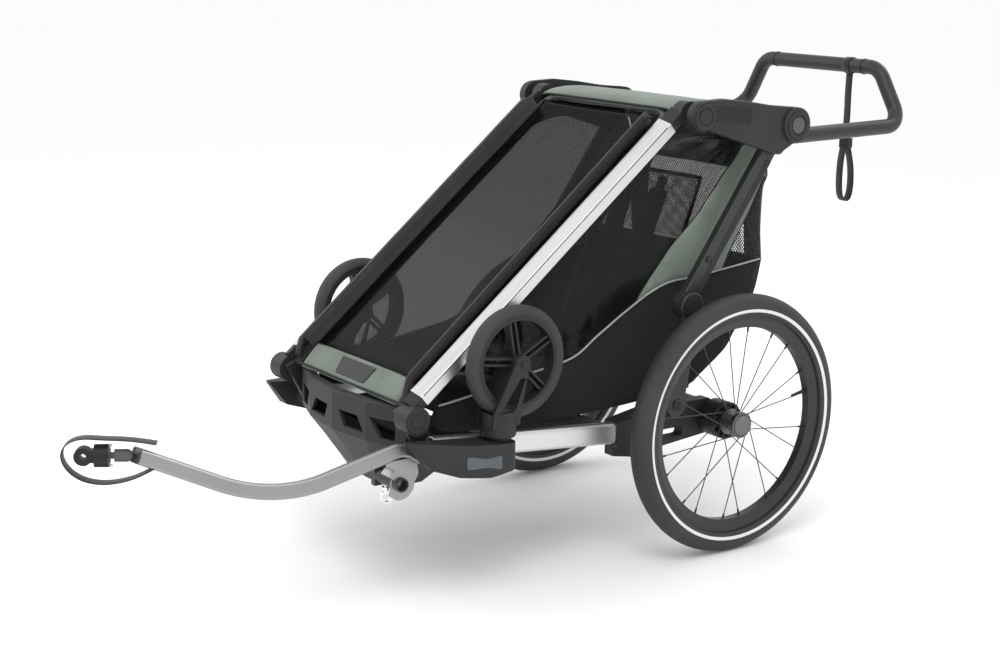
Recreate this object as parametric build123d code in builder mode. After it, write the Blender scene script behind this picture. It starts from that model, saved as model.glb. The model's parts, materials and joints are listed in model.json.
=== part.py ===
from build123d import *
from math import cos, radians, sin, tan
import os

# Child bicycle trailer, single seat, with its drawbar fitted and its two small
# stroller wheels stowed upright on the side wings.
#
# Millimetres. +Z is up, -Y is the direction of travel (towards the bicycle) and +X is the
# trailer's left side, where the drawbar is. The origin is on the ground, in the middle of
# the whole outline. Lengths along Y are given from the main axle, which is AXLE_Y behind
# the origin.

os.makedirs("parts", exist_ok=True)

# ---------------------------------------------------------------- driving dimensions

AXLE_Y = 350.1

# main wheels, tyre size 47-406
WHEEL_X = 303.5
WHEEL_R = 250.0
TYRE_SECTION_R = 23.5
TYRE_WALL = 3.5
TYRE_RING_R = WHEEL_R - TYRE_SECTION_R
TYRE_BEAD_R = 211.0
RIM_INNER_R = 187.0
AXLE_Z = WHEEL_R
SPOKE_PAIRS = 10
SPOKE_R = 1.0
HUB_FLANGE_R = 25.0
HUB_BARREL_R = 13.0
HUB_INNER_X = 282.0
HUB_OUTER_X = 323.0
FLANGE_INNER_X = 288.5
FLANGE_OUTER_X = 319.5
STUB_R = 8.4
RUNNING_FIT = 0.06
BRAKE_CIRCLE_R = 28.0
BRAKE_BOLT_R = 3.5

# the three slabs in which the side frames work, from the cabin outwards
PILLAR_X = (201.0, 229.0)
STRUT_X = (231.0, 247.0)
ARM_X = (249.0, 265.0)

# frame pivots of one side, (y from the axle, z)
PILLAR_FOOT = (-674.0, 342.0)
PILLAR_HEAD = (-72.0, 830.0)
STRUT_TOP = (122.0, 765.0)
STRUT_MIDDLE = (-82.0, 478.0)
STRUT_BOTTOM = (-112.0, 294.0)
HANDLE_HUB = (162.0, 803.0)
PIVOT_PIN_R = 6.0

# floor frame
SIDE_TUBE_X = 227.0
SIDE_TUBE_FRONT = (-640.0, 287.0)
SIDE_TUBE_REAR = (-237.0, 250.0)
WING_BOTTOM_Z = 230.0

# stroller wheels
CASTER_X = 262.0
CASTER_Y = -487.0
CASTER_Z = 427.0
CASTER_R = 100.0
CASTER_WIDTH = 32.0
STEM_Y = -522.0
STEM_R = 11.0

# drawbar and its receiver
RECEIVER_Y = -700.0
RECEIVER_Z = 232.0
RECEIVER_R = 12.5
HOOK_X = (199.0, 227.0)
HITCH_PIN_X = 180.0
HITCH_PIN_R = 4.0
ARM_TUBE = 27.0

# handlebar
BAR_R = 15.0
BAR_X = 231.0

# cabin fabric
PANEL_X = 196.0
CLOTH = 3.0


# ---------------------------------------------------------------- helpers

def place(x, y, z):
    """A point given by its distance behind the axle."""
    return (x, AXLE_Y + y, z)


def side_plane(x):
    """A plane across the trailer at x, whose own axes are (y from the axle, z)."""
    return Plane(origin=place(x, 0, 0), x_dir=(0, 1, 0), z_dir=(1, 0, 0))


def level_plane(z):
    """A level plane at height z, whose own axes are (x, y from the axle)."""
    return Plane(origin=place(0, 0, z))


def along(start, end):
    """A plane at start that faces end."""
    return Plane(origin=start, z_dir=Vector(*end) - Vector(*start))


def rod(start, end, radius, bore=0.0):
    """A round bar or tube between two points."""
    length = (Vector(*end) - Vector(*start)).length
    with BuildPart() as piece:
        with BuildSketch(along(start, end)):
            Circle(radius)
            if bore > 0:
                Circle(bore, mode=Mode.SUBTRACT)
        extrude(amount=length)
    return piece.part


def disc(x_from, x_to, centre, radius, bore=0.0):
    """A round boss across the trailer, between two values of x."""
    with BuildPart() as piece:
        with BuildSketch(side_plane(x_from)):
            with Locations(centre):
                Circle(radius)
                if bore > 0:
                    Circle(bore, mode=Mode.SUBTRACT)
        extrude(amount=x_to - x_from)
    return piece.part


def slab(x_from, x_to, points):
    """A flat plate across the trailer with a straight-sided outline of (y, z) points."""
    with BuildPart() as piece:
        with BuildSketch(side_plane(x_from)):
            Polygon(*points, align=None)
        extrude(amount=x_to - x_from)
    return piece.part


def bent_tube(points, radii, radius, bore=0.0):
    """A tube along straight runs joined by tangent arcs."""
    with BuildPart() as piece:
        with BuildLine() as path:
            FilletPolyline(*points, radius=radii)
        with BuildSketch(along(points[0], points[1])):
            Circle(radius)
            if bore > 0:
                Circle(bore, mode=Mode.SUBTRACT)
        sweep(path=path.line)
    return piece.part


def save(piece, label):
    """Label a finished piece and write it."""
    piece.part.label = label
    export_step(piece.part, f"parts/{label}.step")


def save_pair(piece, label):
    """Write the left piece, and its mirror image for the right side."""
    save(piece, label + "_left")
    with BuildPart() as twin:
        mirror(piece.part, about=Plane.YZ)
    save(twin, label + "_right")


def save_both(piece, label):
    """Write a left piece and its mirror image as two solids of one node."""
    with BuildPart() as both:
        add(piece.part)
        mirror(piece.part, about=Plane.YZ)
    save(both, label)


# ---------------------------------------------------------------- main wheels

# a section through one main wheel: its own axes are (x from the wheel's middle, radius)
wheel_section = Plane(origin=place(WHEEL_X, 0, AXLE_Z), x_dir=(1, 0, 0), z_dir=(0, -1, 0))
axle_section = Plane(origin=place(0, 0, AXLE_Z), x_dir=(1, 0, 0), z_dir=(0, -1, 0))
axle_line = Axis(place(0, 0, AXLE_Z), (1, 0, 0))


def on_wheel(x, radius, angle):
    """A point on a main wheel at a radius and an angle from the rear, turning upwards."""
    turn = radians(angle)
    return place(x, radius * cos(turn), AXLE_Z + radius * sin(turn))


# tyre: a hollow casing, open inwards between its beads
with BuildPart() as tyre:
    with BuildSketch(wheel_section):
        with Locations((0, TYRE_RING_R)):
            Circle(TYRE_SECTION_R)
            Circle(TYRE_SECTION_R - TYRE_WALL, mode=Mode.SUBTRACT)
        with Locations((0, TYRE_BEAD_R)):
            Rectangle(60, 40, align=(Align.CENTER, Align.MAX), mode=Mode.SUBTRACT)
    revolve(axis=axle_line)
save_pair(tyre, "tyre")

# rim: a double-walled section with a well between two flanges, and the valve in it
RIM_PROFILE = [
    (-13.5, 211), (-11, 211), (-11, 206), (-7, 200), (7, 200), (11, 206), (11, 211),
    (13.5, 211), (13.5, 202), (8, RIM_INNER_R), (-8, RIM_INNER_R), (-13.5, 202),
]
VALVE_ANGLE = 12.0
with BuildPart() as rim:
    with BuildSketch(wheel_section):
        Polygon(*RIM_PROFILE, align=None)
    revolve(axis=axle_line)
    add(rod(on_wheel(WHEEL_X, 190, VALVE_ANGLE), on_wheel(WHEEL_X, 152, VALVE_ANGLE), 3.0))
save_pair(rim, "rim")

# spokes: pairs, one spoke from each hub flange, with a nipple at the rim
SPOKE_LEAN = 34.0
SPOKE_SPREAD = 7.0
with BuildPart() as spokes:
    for pair in range(SPOKE_PAIRS):
        middle = 18.0 + 360.0 / SPOKE_PAIRS * pair
        for side, flange_x in ((1, FLANGE_OUTER_X), (-1, FLANGE_INNER_X)):
            inner_end = on_wheel(flange_x, HUB_FLANGE_R - 0.4, middle + side * SPOKE_LEAN)
            outer_end = on_wheel(WHEEL_X + 2 * side, RIM_INNER_R + 0.4, middle - side * SPOKE_SPREAD)
            reach = Vector(*outer_end) - Vector(*inner_end)
            nipple_end = Vector(*outer_end) - reach.normalized() * 10.0
            add(rod(inner_end, outer_end, SPOKE_R))
            add(rod(tuple(nipple_end), outer_end, 2 * SPOKE_R))
save_pair(spokes, "spokes")

# hub: barrel and two flanges turned in one piece, with a recess for the release button
BUTTON_R = 19.5
RECESS_X = 317.5
HUB_PROFILE = [
    (HUB_INNER_X, STUB_R + RUNNING_FIT), (HUB_INNER_X, HUB_BARREL_R), (286.5, HUB_BARREL_R),
    (286.5, HUB_FLANGE_R), (290.5, HUB_FLANGE_R), (290.5, HUB_BARREL_R), (310, HUB_BARREL_R),
    (314, HUB_FLANGE_R - 3), (316, HUB_FLANGE_R), (HUB_OUTER_X, HUB_FLANGE_R),
    (HUB_OUTER_X, BUTTON_R + 0.7), (RECESS_X, BUTTON_R + 0.7), (RECESS_X, STUB_R + RUNNING_FIT),
]
with BuildPart() as hub:
    with BuildSketch(axle_section):
        Polygon(*HUB_PROFILE, align=None)
    revolve(axis=axle_line)
save_pair(hub, "hub")

# brake ring: bolted to the hub's inner end, with a circle of holes for the brake bolt
BRAKE_RING_R = 36.0
BRAKE_HOLES = 12
with BuildPart() as brake_ring:
    with BuildSketch(side_plane(HUB_INNER_X - 6)):
        with Locations((0, AXLE_Z)):
            Circle(BRAKE_RING_R)
            Circle(STUB_R + 0.6, mode=Mode.SUBTRACT)
            with PolarLocations(BRAKE_CIRCLE_R, BRAKE_HOLES):
                Circle(BRAKE_BOLT_R + 1.1, mode=Mode.SUBTRACT)
    extrude(amount=6)
save_pair(brake_ring, "brake_ring")

# release button: a cap in the hub's outer face on a stem that slides in the stub axle
BUTTON_STEM_R = 3.0
STUB_END_X = 317.0
with BuildPart() as hub_button:
    add(disc(HUB_OUTER_X - 1, HUB_OUTER_X + 3, (0, AXLE_Z), BUTTON_R))
    add(disc(STUB_END_X - 11, HUB_OUTER_X, (0, AXLE_Z), BUTTON_STEM_R))
    fillet(hub_button.faces().sort_by(Axis.X)[-1].edges(), radius=1.5)
save_pair(hub_button, "hub_button")

# main axle: a cross beam, two housings with the brake bolts' guides, and the stub axles
HOUSING_R = 26.0
HOUSING_X = 150.0
BEAM_R = 14.0
GUIDE_X = (244.0, 274.0)
AXLE_PROFILE = [
    (0, 0), (0, BEAM_R), (HOUSING_X, BEAM_R), (HOUSING_X + 2, HOUSING_R), (GUIDE_X[0], HOUSING_R),
    (GUIDE_X[0], BRAKE_RING_R), (GUIDE_X[1], BRAKE_RING_R), (GUIDE_X[1], STUB_R),
    (STUB_END_X, STUB_R), (STUB_END_X, BUTTON_STEM_R + RUNNING_FIT),
    (STUB_END_X - 20, BUTTON_STEM_R + RUNNING_FIT), (STUB_END_X - 20, 0),
]
BOLT_CENTRE = (0, AXLE_Z - BRAKE_CIRCLE_R)
with BuildPart() as half_axle:
    with BuildSketch(axle_section):
        Polygon(*AXLE_PROFILE, align=None)
    revolve(axis=axle_line)
    add(
        disc(GUIDE_X[0] + 4, GUIDE_X[1], BOLT_CENTRE, BRAKE_BOLT_R + RUNNING_FIT),
        mode=Mode.SUBTRACT,
    )
with BuildPart() as main_axle:
    add(half_axle.part)
    mirror(half_axle.part, about=Plane.YZ)
save(main_axle, "main_axle")

# brake bolt: slides out of the housing into one of the ring's holes
with BuildPart() as brake_bolt:
    add(disc(GUIDE_X[0] + 5, GUIDE_X[1], BOLT_CENTRE, BRAKE_BOLT_R))
save_pair(brake_bolt, "brake_bolt")

# parking-brake pedal: a sleeve on the beam with a foot plate that reaches back
PEDAL_WIDTH = 96.0
with BuildPart() as brake_pedal:
    add(disc(-PEDAL_WIDTH / 2, PEDAL_WIDTH / 2, (0, AXLE_Z), BEAM_R + 6))
    with BuildSketch(level_plane(AXLE_Z - 3)):
        with Locations((0, 52)):
            RectangleRounded(44, 80, 8)
        with Locations((0, 96)):
            RectangleRounded(PEDAL_WIDTH, 40, 10)
    extrude(amount=6)
    add(
        disc(-PEDAL_WIDTH, PEDAL_WIDTH, (0, AXLE_Z), BEAM_R + RUNNING_FIT),
        mode=Mode.SUBTRACT,
    )
save(brake_pedal, "brake_pedal")

# ---------------------------------------------------------------- floor frame

# side tubes: rounded rectangular tube, falling slightly to the rear
TUBE_WIDTH = 24.0
TUBE_HEIGHT = 40.0
TUBE_WALL = 2.0
tube_front = place(SIDE_TUBE_X, *SIDE_TUBE_FRONT)
tube_rear = place(SIDE_TUBE_X, *SIDE_TUBE_REAR)
tube_run = Vector(*tube_rear) - Vector(*tube_front)
with BuildPart() as side_tube:
    with BuildSketch(Plane(origin=tube_front, x_dir=(1, 0, 0), z_dir=tube_run)):
        RectangleRounded(TUBE_WIDTH, TUBE_HEIGHT, 8)
        RectangleRounded(TUBE_WIDTH - 2 * TUBE_WALL, TUBE_HEIGHT - 2 * TUBE_WALL, 6, mode=Mode.SUBTRACT)
    extrude(amount=tube_run.length)
save_both(side_tube, "side_tubes")

# rear brackets: carry the axle housing and the lower strut's pivot, and hold the side tube
BRACKET_OUTLINE = [
    (-236, 205), (-236, 272), (-150, 286), (-126, 303), (-98, 303), (-60, 284), (0, 283),
    (30, 264), (30, 238), (0, 215), (-120, 205), (-190, 196),
]
with BuildPart() as rear_bracket:
    add(slab(205, PILLAR_X[1], BRACKET_OUTLINE))
    add(slab(205, 241, [(-236.5, 222), (-236.5, 272), (-196, 276), (-190, 218)]))
    with BuildSketch(side_plane(200)):
        with Locations((0, AXLE_Z)):
            Circle(HOUSING_R)
        with Locations((-150, 250), (-120, 262), (-70, 262)):
            Circle(6)
        with Locations((-100, 228)):
            RectangleRounded(70, 18, 6)
    extrude(amount=32, mode=Mode.SUBTRACT)
    add(disc(PILLAR_X[1], ARM_X[0] - 0.5, STRUT_BOTTOM, 13))
    add(disc(PILLAR_X[1], ARM_X[1] + 1, STRUT_BOTTOM, PIVOT_PIN_R))
save_both(rear_bracket, "rear_brackets")

# front cross tube: joins the side tubes, holds the pillars' lower pivots on two ears, and
# carries the drawbar's receiver, a stub tube under the left corner
EAR_X = (187.0, 199.0)
DROP_PLATE = [(-640, 292), (-618, 292), (-684, 214), (-712, 214), (-712, 246)]
DROP_SLOT = [(-648, 297), (-612, 297), (-612, 286), (-680, 208), (-718, 208), (-718, 250)]
with BuildPart() as front_cross_tube:
    add(rod(place(-214.5, -628, 288), place(214.5, -628, 288), 13, 10.5))
    for side in (1, -1):
        ear_start = min(side * EAR_X[0], side * EAR_X[1])
        add(slab(ear_start, ear_start + 12, [
            (-690, 352), (-674, 360), (-658, 352), (-612, 292), (-622, 276), (-650, 276),
        ]))
        pin_ends = sorted((side * EAR_X[1], side * 240.0))
        add(disc(pin_ends[0], pin_ends[1], PILLAR_FOOT, PIVOT_PIN_R))
    add(slab(150, 162, DROP_PLATE))
    add(disc(162, 233, (RECEIVER_Y, RECEIVER_Z), RECEIVER_R, RECEIVER_R - 3))
    add(
        rod(
            place(HITCH_PIN_X, RECEIVER_Y, RECEIVER_Z - 20),
            place(HITCH_PIN_X, RECEIVER_Y, RECEIVER_Z + 20),
            HITCH_PIN_R + RUNNING_FIT,
        ),
        mode=Mode.SUBTRACT,
    )
save(front_cross_tube, "front_cross_tube")

# wings: side platforms, thicker to the rear, with a socket for a stroller wheel's stem
WING_PROFILE = [(-664, 261), (-704, 312), (-640, 305), (-496, 290), (-496, 243), (-560, 238), (-620, 246)]
SOCKET_PAD_Z = 298.5
with BuildPart() as wing:
    with BuildSketch(level_plane(WING_BOTTOM_Z)):
        with BuildLine():
            Polyline((268, -496), (240.5, -496), (240.5, -706), (256, -700), (288, -620))
            ThreePointArc((288, -620), (297, -565), (294, -520))
            ThreePointArc((294, -520), (286, -502), (268, -496))
        make_face()
    extrude(amount=90)
    add(slab(230, 310, WING_PROFILE), mode=Mode.INTERSECT)
    with BuildSketch(level_plane(WING_BOTTOM_Z + 20)):
        with Locations((CASTER_X, STEM_Y)):
            Circle(21)
    extrude(amount=SOCKET_PAD_Z - WING_BOTTOM_Z - 20)
    with BuildSketch(level_plane(WING_BOTTOM_Z - 20)):
        with Locations((CASTER_X, STEM_Y)):
            Circle(STEM_R + RUNNING_FIT)
    extrude(amount=100, mode=Mode.SUBTRACT)
save_pair(wing, "wing")

# nose tub: bumper rail, windowed band and a hull-shaped footwell shell, in one moulding
RAIL_TOP = 350.0
BAND_TOP = 328.0
BAND_BOTTOM = 277.0
HULL_BOTTOM = 172.0
NOSE_WALL = 4.0


def nose_front(inset):
    """Right to left along the bowed front, as (x, y from the axle), inset from the outside."""
    half = [(184 - 0.3 * inset, -662 + inset), (100, -692 + inset)]
    return half + [(0, -703 + inset)] + [(-x, y) for x, y in reversed(half)]


def bowed_wall(bottom, top, depth):
    """An upright wall that follows the nose's front, as deep as depth."""
    with BuildPart() as piece:
        with BuildSketch(level_plane(bottom)):
            Polygon(*nose_front(0), *reversed(nose_front(depth)), align=None)
        extrude(amount=top - bottom)
    return piece.part


def hull(wall):
    """The footwell's outer form for a wall of 0, or the space inside it."""
    side = 184 - wall
    floor_side = 76 - wall
    floor_front = [(floor_side, -622 + wall), (40, -628 + wall), (0, -630 + wall)]
    floor_front += [(-x, y) for x, y in reversed(floor_front[:2])]
    front = [(side, -662 + wall), (100, -692 + wall), (0, -703 + wall)]
    front += [(-x, y) for x, y in reversed(front[:2])]
    with BuildPart() as piece:
        with BuildSketch(level_plane(BAND_BOTTOM)):
            Polygon((side, -505 - wall), *front, (-side, -505 - wall), align=None)
        with BuildSketch(level_plane(HULL_BOTTOM + wall)):
            Polygon((floor_side, -560 - wall), *floor_front, (-floor_side, -560 - wall), align=None)
        loft(ruled=True)
    return piece.part


with BuildPart() as nose_tub:
    add(bowed_wall(BAND_TOP, RAIL_TOP, 22))
    fillet(nose_tub.edges().group_by(Axis.Z)[-1], radius=4)
    add(bowed_wall(BAND_BOTTOM, BAND_TOP, 7))
    # windows of the band, between slanted ribs
    for side in (1, -1):
        with BuildSketch(Plane.XZ.offset(640 - AXLE_Y)):
            Polygon((side * 160, 287), (side * 164, 322), (side * 106, 322), (side * 128, 287), align=None)
            Polygon((side * 34, 290), (side * 92, 290), (side * 74, 318), (side * 20, 318), align=None)
        extrude(amount=90, mode=Mode.SUBTRACT)
    add(hull(0))
    add(hull(NOSE_WALL), mode=Mode.SUBTRACT)
    # the cross tube and the receiver's plate pass through the tub
    add(rod(place(-220, -628, 288), place(220, -628, 288), 14.5), mode=Mode.SUBTRACT)
    add(slab(146, 166, DROP_SLOT), mode=Mode.SUBTRACT)
save(nose_tub, "nose_tub")

# cabin floor: a panel laced between the side tubes
with BuildPart() as cabin_floor:
    add(slab(-213, 213, [(-500, 279), (-500, 284), (-244, 262), (-244, 257)]))
save(cabin_floor, "cabin_floor")

# ---------------------------------------------------------------- folding side frames

PILLAR_TOP_INNER = 31.0
PILLAR_TOP_OUTER = 20.0
PILLAR_LOW = -1.0
FOOT_GRIP = 36.0
HEAD_GRIP = 46.0
foot = Vector(*place(0, *PILLAR_FOOT))
head = Vector(*place(0, *PILLAR_HEAD))
pillar_dir = (head - foot).normalized()
pillar_up = Vector(1, 0, 0).cross(pillar_dir)
PILLAR_MID_X = sum(PILLAR_X) / 2
PILLAR_WIDTH = PILLAR_X[1] - PILLAR_X[0]


def pillar_plane(start, distance):
    """A plane across the pillar at a distance from start, with its Y axis down from the pivots' line."""
    centre = start + pillar_dir * distance
    return Plane(origin=centre + Vector(PILLAR_MID_X, 0, 0), x_dir=(1, 0, 0), z_dir=pillar_dir)


def pillar_section(inset, rounding):
    """The pillar's section: its front face slopes down to the outer side."""
    half = PILLAR_WIDTH / 2
    with BuildSketch(mode=Mode.PRIVATE) as section:
        Polygon(
            (-half, -PILLAR_TOP_INNER), (half, -PILLAR_TOP_OUTER), (half, -PILLAR_LOW), (-half, -PILLAR_LOW),
            align=None,
        )
        offset(amount=-inset, kind=Kind.INTERSECTION)
        fillet(section.vertices(), rounding)
    return section.sketch


# front pillars: hollow extrusion with a groove on its outer corner for the cover's piping
pillar_length = (head - foot).length
with BuildPart() as front_pillar:
    with BuildSketch(pillar_plane(foot, FOOT_GRIP)):
        add(pillar_section(0.01, 2.5))
        add(pillar_section(2, 1), mode=Mode.SUBTRACT)
    extrude(amount=pillar_length - FOOT_GRIP - HEAD_GRIP)
save_both(front_pillar, "front_pillars")

# roof tube: radius, distance of its legs from the middle, corner and lower end of a leg
ROOF_TUBE_R = 7.5
ROOF_TUBE_X = 183.0
ROOF_BOW = (-82.0, 834.0)
ROOF_LEG_END = (-190.0, 744.0)

# pillar fittings: the foot and the head that grip each pillar and turn on its pivots, and
# the clip on the pillar's inner face that holds the roof tube's leg
with BuildPart() as fitting:
    add(disc(203, 241, PILLAR_FOOT, 25, PIVOT_PIN_R + RUNNING_FIT))
    with BuildSketch(pillar_plane(foot, 14)):
        add(pillar_section(1, 3))
    extrude(amount=FOOT_GRIP - 14)
    add(disc(199, 245, PILLAR_FOOT, PIVOT_PIN_R + RUNNING_FIT), mode=Mode.SUBTRACT)
    add(disc(203, PILLAR_X[1], PILLAR_HEAD, 25, PIVOT_PIN_R + RUNNING_FIT))
    with BuildSketch(pillar_plane(head, -HEAD_GRIP)):
        add(pillar_section(1, 3))
    extrude(amount=HEAD_GRIP - 12)
    add(disc(199, 245, PILLAR_HEAD, PIVOT_PIN_R + RUNNING_FIT), mode=Mode.SUBTRACT)
    leg_end = Vector(*place(0, *ROOF_LEG_END))
    leg_dir = (Vector(*place(0, *ROOF_BOW)) - leg_end).normalized()
    clip_middle = Vector((ROOF_TUBE_X - 10 + PILLAR_X[0]) / 2, 0, 0)
    with BuildSketch(Plane(origin=leg_end - leg_dir * 6 + clip_middle, x_dir=(1, 0, 0), z_dir=leg_dir)):
        RectangleRounded(PILLAR_X[0] - ROOF_TUBE_X + 10, 20, 3)
    extrude(amount=24)
    with BuildSketch(Plane(origin=leg_end + Vector(ROOF_TUBE_X, 0, 0), x_dir=(1, 0, 0), z_dir=leg_dir)):
        Circle(ROOF_TUBE_R)
    extrude(amount=40, mode=Mode.SUBTRACT)
save_both(fitting, "pillar_fittings")

# roof tube: a bow across the top of the cabin, with a leg down beside each pillar
with BuildPart() as roof_tube:
    add(bent_tube(
        [
            place(ROOF_TUBE_X, *ROOF_LEG_END), place(ROOF_TUBE_X, *ROOF_BOW),
            place(-ROOF_TUBE_X, *ROOF_BOW), place(-ROOF_TUBE_X, *ROOF_LEG_END),
        ],
        [32, 32], ROOF_TUBE_R, ROOF_TUBE_R - 2,
    ))
save(roof_tube, "roof_tube")

# side arms: shell from the pillar's head to the round housing that holds the handlebar
ARM_OUTLINE = [
    (-72, 858), (-20, 860), (40, 853), (100, 843), (162, 837), (188, 812), (172, 774),
    (124, 750), (96, 756), (56, 769), (0, 786), (-60, 805),
]
with BuildPart() as side_arm:
    with BuildSketch(side_plane(ARM_X[0])):
        Polygon(*ARM_OUTLINE, align=None)
        with Locations(PILLAR_HEAD):
            Circle(28)
        with Locations(STRUT_TOP):
            Circle(16)
        with Locations(HANDLE_HUB):
            Circle(34)
    extrude(amount=ARM_X[1] - ARM_X[0])
    fillet(side_arm.faces().sort_by(Axis.X)[-1].edges(), radius=3)
    add(disc(ARM_X[0], 272, HANDLE_HUB, 34))
    fillet(side_arm.faces().sort_by(Axis.X)[-1].edges(), radius=4)
    add(disc(ARM_X[0], 269, PILLAR_HEAD, 26))
    add(disc(203.5, ARM_X[0], PILLAR_HEAD, PIVOT_PIN_R))
    add(disc(PILLAR_X[1] + 0.5, ARM_X[0], PILLAR_HEAD, 9))
    add(disc(STRUT_X[0] + 0.5, ARM_X[0], STRUT_TOP, PIVOT_PIN_R))
    add(disc(218, ARM_X[0], HANDLE_HUB, 8))
    # seat of the handlebar's release button
    add(disc(258, 275, HANDLE_HUB, 16.2), mode=Mode.SUBTRACT)
    add(disc(240, 275, HANDLE_HUB, 3 + RUNNING_FIT), mode=Mode.SUBTRACT)
save_pair(side_arm, "side_arm")

# handlebar buttons: a round cap in the arm's housing on a short stem
with BuildPart() as handlebar_button:
    add(disc(264, 274, HANDLE_HUB, 15.6))
    fillet(handlebar_button.faces().sort_by(Axis.X)[-1].edges(), radius=1.5)
    add(disc(252, 264, HANDLE_HUB, 3))
save_pair(handlebar_button, "handlebar_button")


def strut_plane(x, lower, upper):
    """A side plane at x whose own first axis runs from the lower to the upper pivot."""
    direction = Vector(0, upper[0] - lower[0], upper[1] - lower[1])
    return Plane(origin=place(x, *lower), x_dir=direction, z_dir=(1, 0, 0))


def strut_length(lower, upper):
    """Distance between a strut's pivots."""
    return Vector(upper[0] - lower[0], upper[1] - lower[1]).length


# upper struts: hang from the side arms, rounded at both ends
upper_run = strut_length(STRUT_MIDDLE, STRUT_TOP)
with BuildPart() as upper_strut:
    with BuildSketch(strut_plane(STRUT_X[0], STRUT_MIDDLE, STRUT_TOP)):
        with Locations((upper_run / 2, 0)):
            Rectangle(upper_run, 34)
        Circle(24)
        with Locations((upper_run, 0)):
            Circle(19)
    extrude(amount=STRUT_X[1] - STRUT_X[0])
    fillet(upper_strut.faces().sort_by(Axis.X)[-1].edges(), radius=3)
    add(disc(225, 255, STRUT_TOP, PIVOT_PIN_R + RUNNING_FIT), mode=Mode.SUBTRACT)
save_pair(upper_strut, "upper_strut")

# lower struts: turn on the rear brackets and meet the upper struts at the middle hinge
lower_run = strut_length(STRUT_BOTTOM, STRUT_MIDDLE)
with BuildPart() as lower_strut:
    with BuildSketch(strut_plane(ARM_X[0], STRUT_BOTTOM, STRUT_MIDDLE)):
        with Locations((lower_run / 2, 0)):
            Rectangle(lower_run, 36)
        Circle(25)
        with Locations((lower_run, 0)):
            Circle(27)
    extrude(amount=ARM_X[1] - ARM_X[0])
    fillet(lower_strut.faces().sort_by(Axis.X)[-1].edges(), radius=3)
    add(disc(225, 275, STRUT_BOTTOM, PIVOT_PIN_R + RUNNING_FIT), mode=Mode.SUBTRACT)
    add(disc(255, 275, STRUT_MIDDLE, 5 + RUNNING_FIT), mode=Mode.SUBTRACT)
save_pair(lower_strut, "lower_strut")

# fold knobs: quarter-turn locks of the middle hinge, with a D-shaped finger ridge
with BuildPart() as fold_knob:
    add(disc(ARM_X[1] + 0.3, 269, STRUT_MIDDLE, 20))
    add(disc(256, ARM_X[1] + 1, STRUT_MIDDLE, 5))
    with BuildSketch(side_plane(269)):
        with Locations(STRUT_MIDDLE):
            Circle(17)
            with Locations((0, 5)):
                Rectangle(40, 20, align=(Align.CENTER, Align.MIN), mode=Mode.SUBTRACT)
    extrude(amount=4)
save_pair(fold_knob, "fold_knob")

# ---------------------------------------------------------------- handlebar

# handlebar: one bent tube between two discs that turn on the side arms' pins
HAND_BEND_LOW = (229.0, 496.0, 782.0)
HAND_BEND_TOP = (164.0, 493.0, 893.0)
BAR_START = (BAR_X, 176.0, 777.0)
crossbar_middle = place(0, HAND_BEND_TOP[1], HAND_BEND_TOP[2])
half_points = [crossbar_middle, place(*HAND_BEND_TOP), place(*HAND_BEND_LOW), place(*BAR_START)]
half_bar = bent_tube(half_points, [42, 42], BAR_R, BAR_R - 2.5)
with BuildPart() as handlebar:
    add(half_bar)
    mirror(half_bar, about=Plane.YZ)
    for side in (1, -1):
        ends = sorted((side * 219.0, side * 247.0))
        add(disc(ends[0], ends[1], HANDLE_HUB, 28))
    for side in (1, -1):
        ends = sorted((side * 217.0, side * 250.0))
        add(disc(ends[0], ends[1], HANDLE_HUB, 8 + RUNNING_FIT), mode=Mode.SUBTRACT)
save(handlebar, "handlebar")


def arc_radii(points):
    """The largest smooth arc at each corner of a limp strap's route, printed as it goes."""
    radii = []
    for before, corner, after in zip(points, points[1:], points[2:]):
        run_in = Vector(*corner) - Vector(*before)
        run_out = Vector(*after) - Vector(*corner)
        turn = radians(run_in.get_angle(run_out))
        radii.append(0.45 * min(run_in.length, run_out.length) / tan(turn / 2))
    print("radii", [round(radius, 1) for radius in radii])
    return radii


def strap(points, width, thickness, across):
    """Flat webbing along a route, its width along the direction across."""
    with BuildPart() as piece:
        with BuildLine() as path:
            FilletPolyline(*points, radius=arc_radii(points))
        start = Plane(origin=points[0], x_dir=across, z_dir=Vector(*points[1]) - Vector(*points[0]))
        with BuildSketch(start):
            Rectangle(width, thickness)
        sweep(path=path.line)
    print("strap length", round(path.wires()[0].length, 1), "section", width * thickness)
    return piece.part


# wrist strap: flat webbing that hangs from the crossbar, with a hand loop closed by a keeper
STRAP_X = 85.0
STRAP_WIDTH = 18.0
STRAP_THICKNESS = 2.0
WRIST_ROUTE = [
    (493, 877.6), (491, 840), (492.5, 790), (489.5, 740), (480, 700), (478, 662), (479.5, 636),
    (483, 621), (490, 611), (500, 609), (508, 616), (512, 630), (513.5, 656), (509, 694), (496, 730),
]
with BuildPart() as wrist_strap:
    add(strap([place(STRAP_X, y, z) for y, z in WRIST_ROUTE], STRAP_WIDTH, STRAP_THICKNESS, (1, 0, 0)))
save(wrist_strap, "wrist_strap")

# keeper: a moulded slide round both strands, where the loop closes
KEEPER_Z = (722.0, 742.0)
with BuildPart() as wrist_strap_keeper:
    with BuildSketch(level_plane(KEEPER_Z[0])):
        with Locations((STRAP_X, 492.5)):
            RectangleRounded(STRAP_WIDTH + 7, 17, 3)
            Rectangle(STRAP_WIDTH + 1, 12, mode=Mode.SUBTRACT)
    extrude(amount=KEEPER_Z[1] - KEEPER_Z[0])
save(wrist_strap_keeper, "wrist_strap_keeper")

# ---------------------------------------------------------------- stroller wheels

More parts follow.
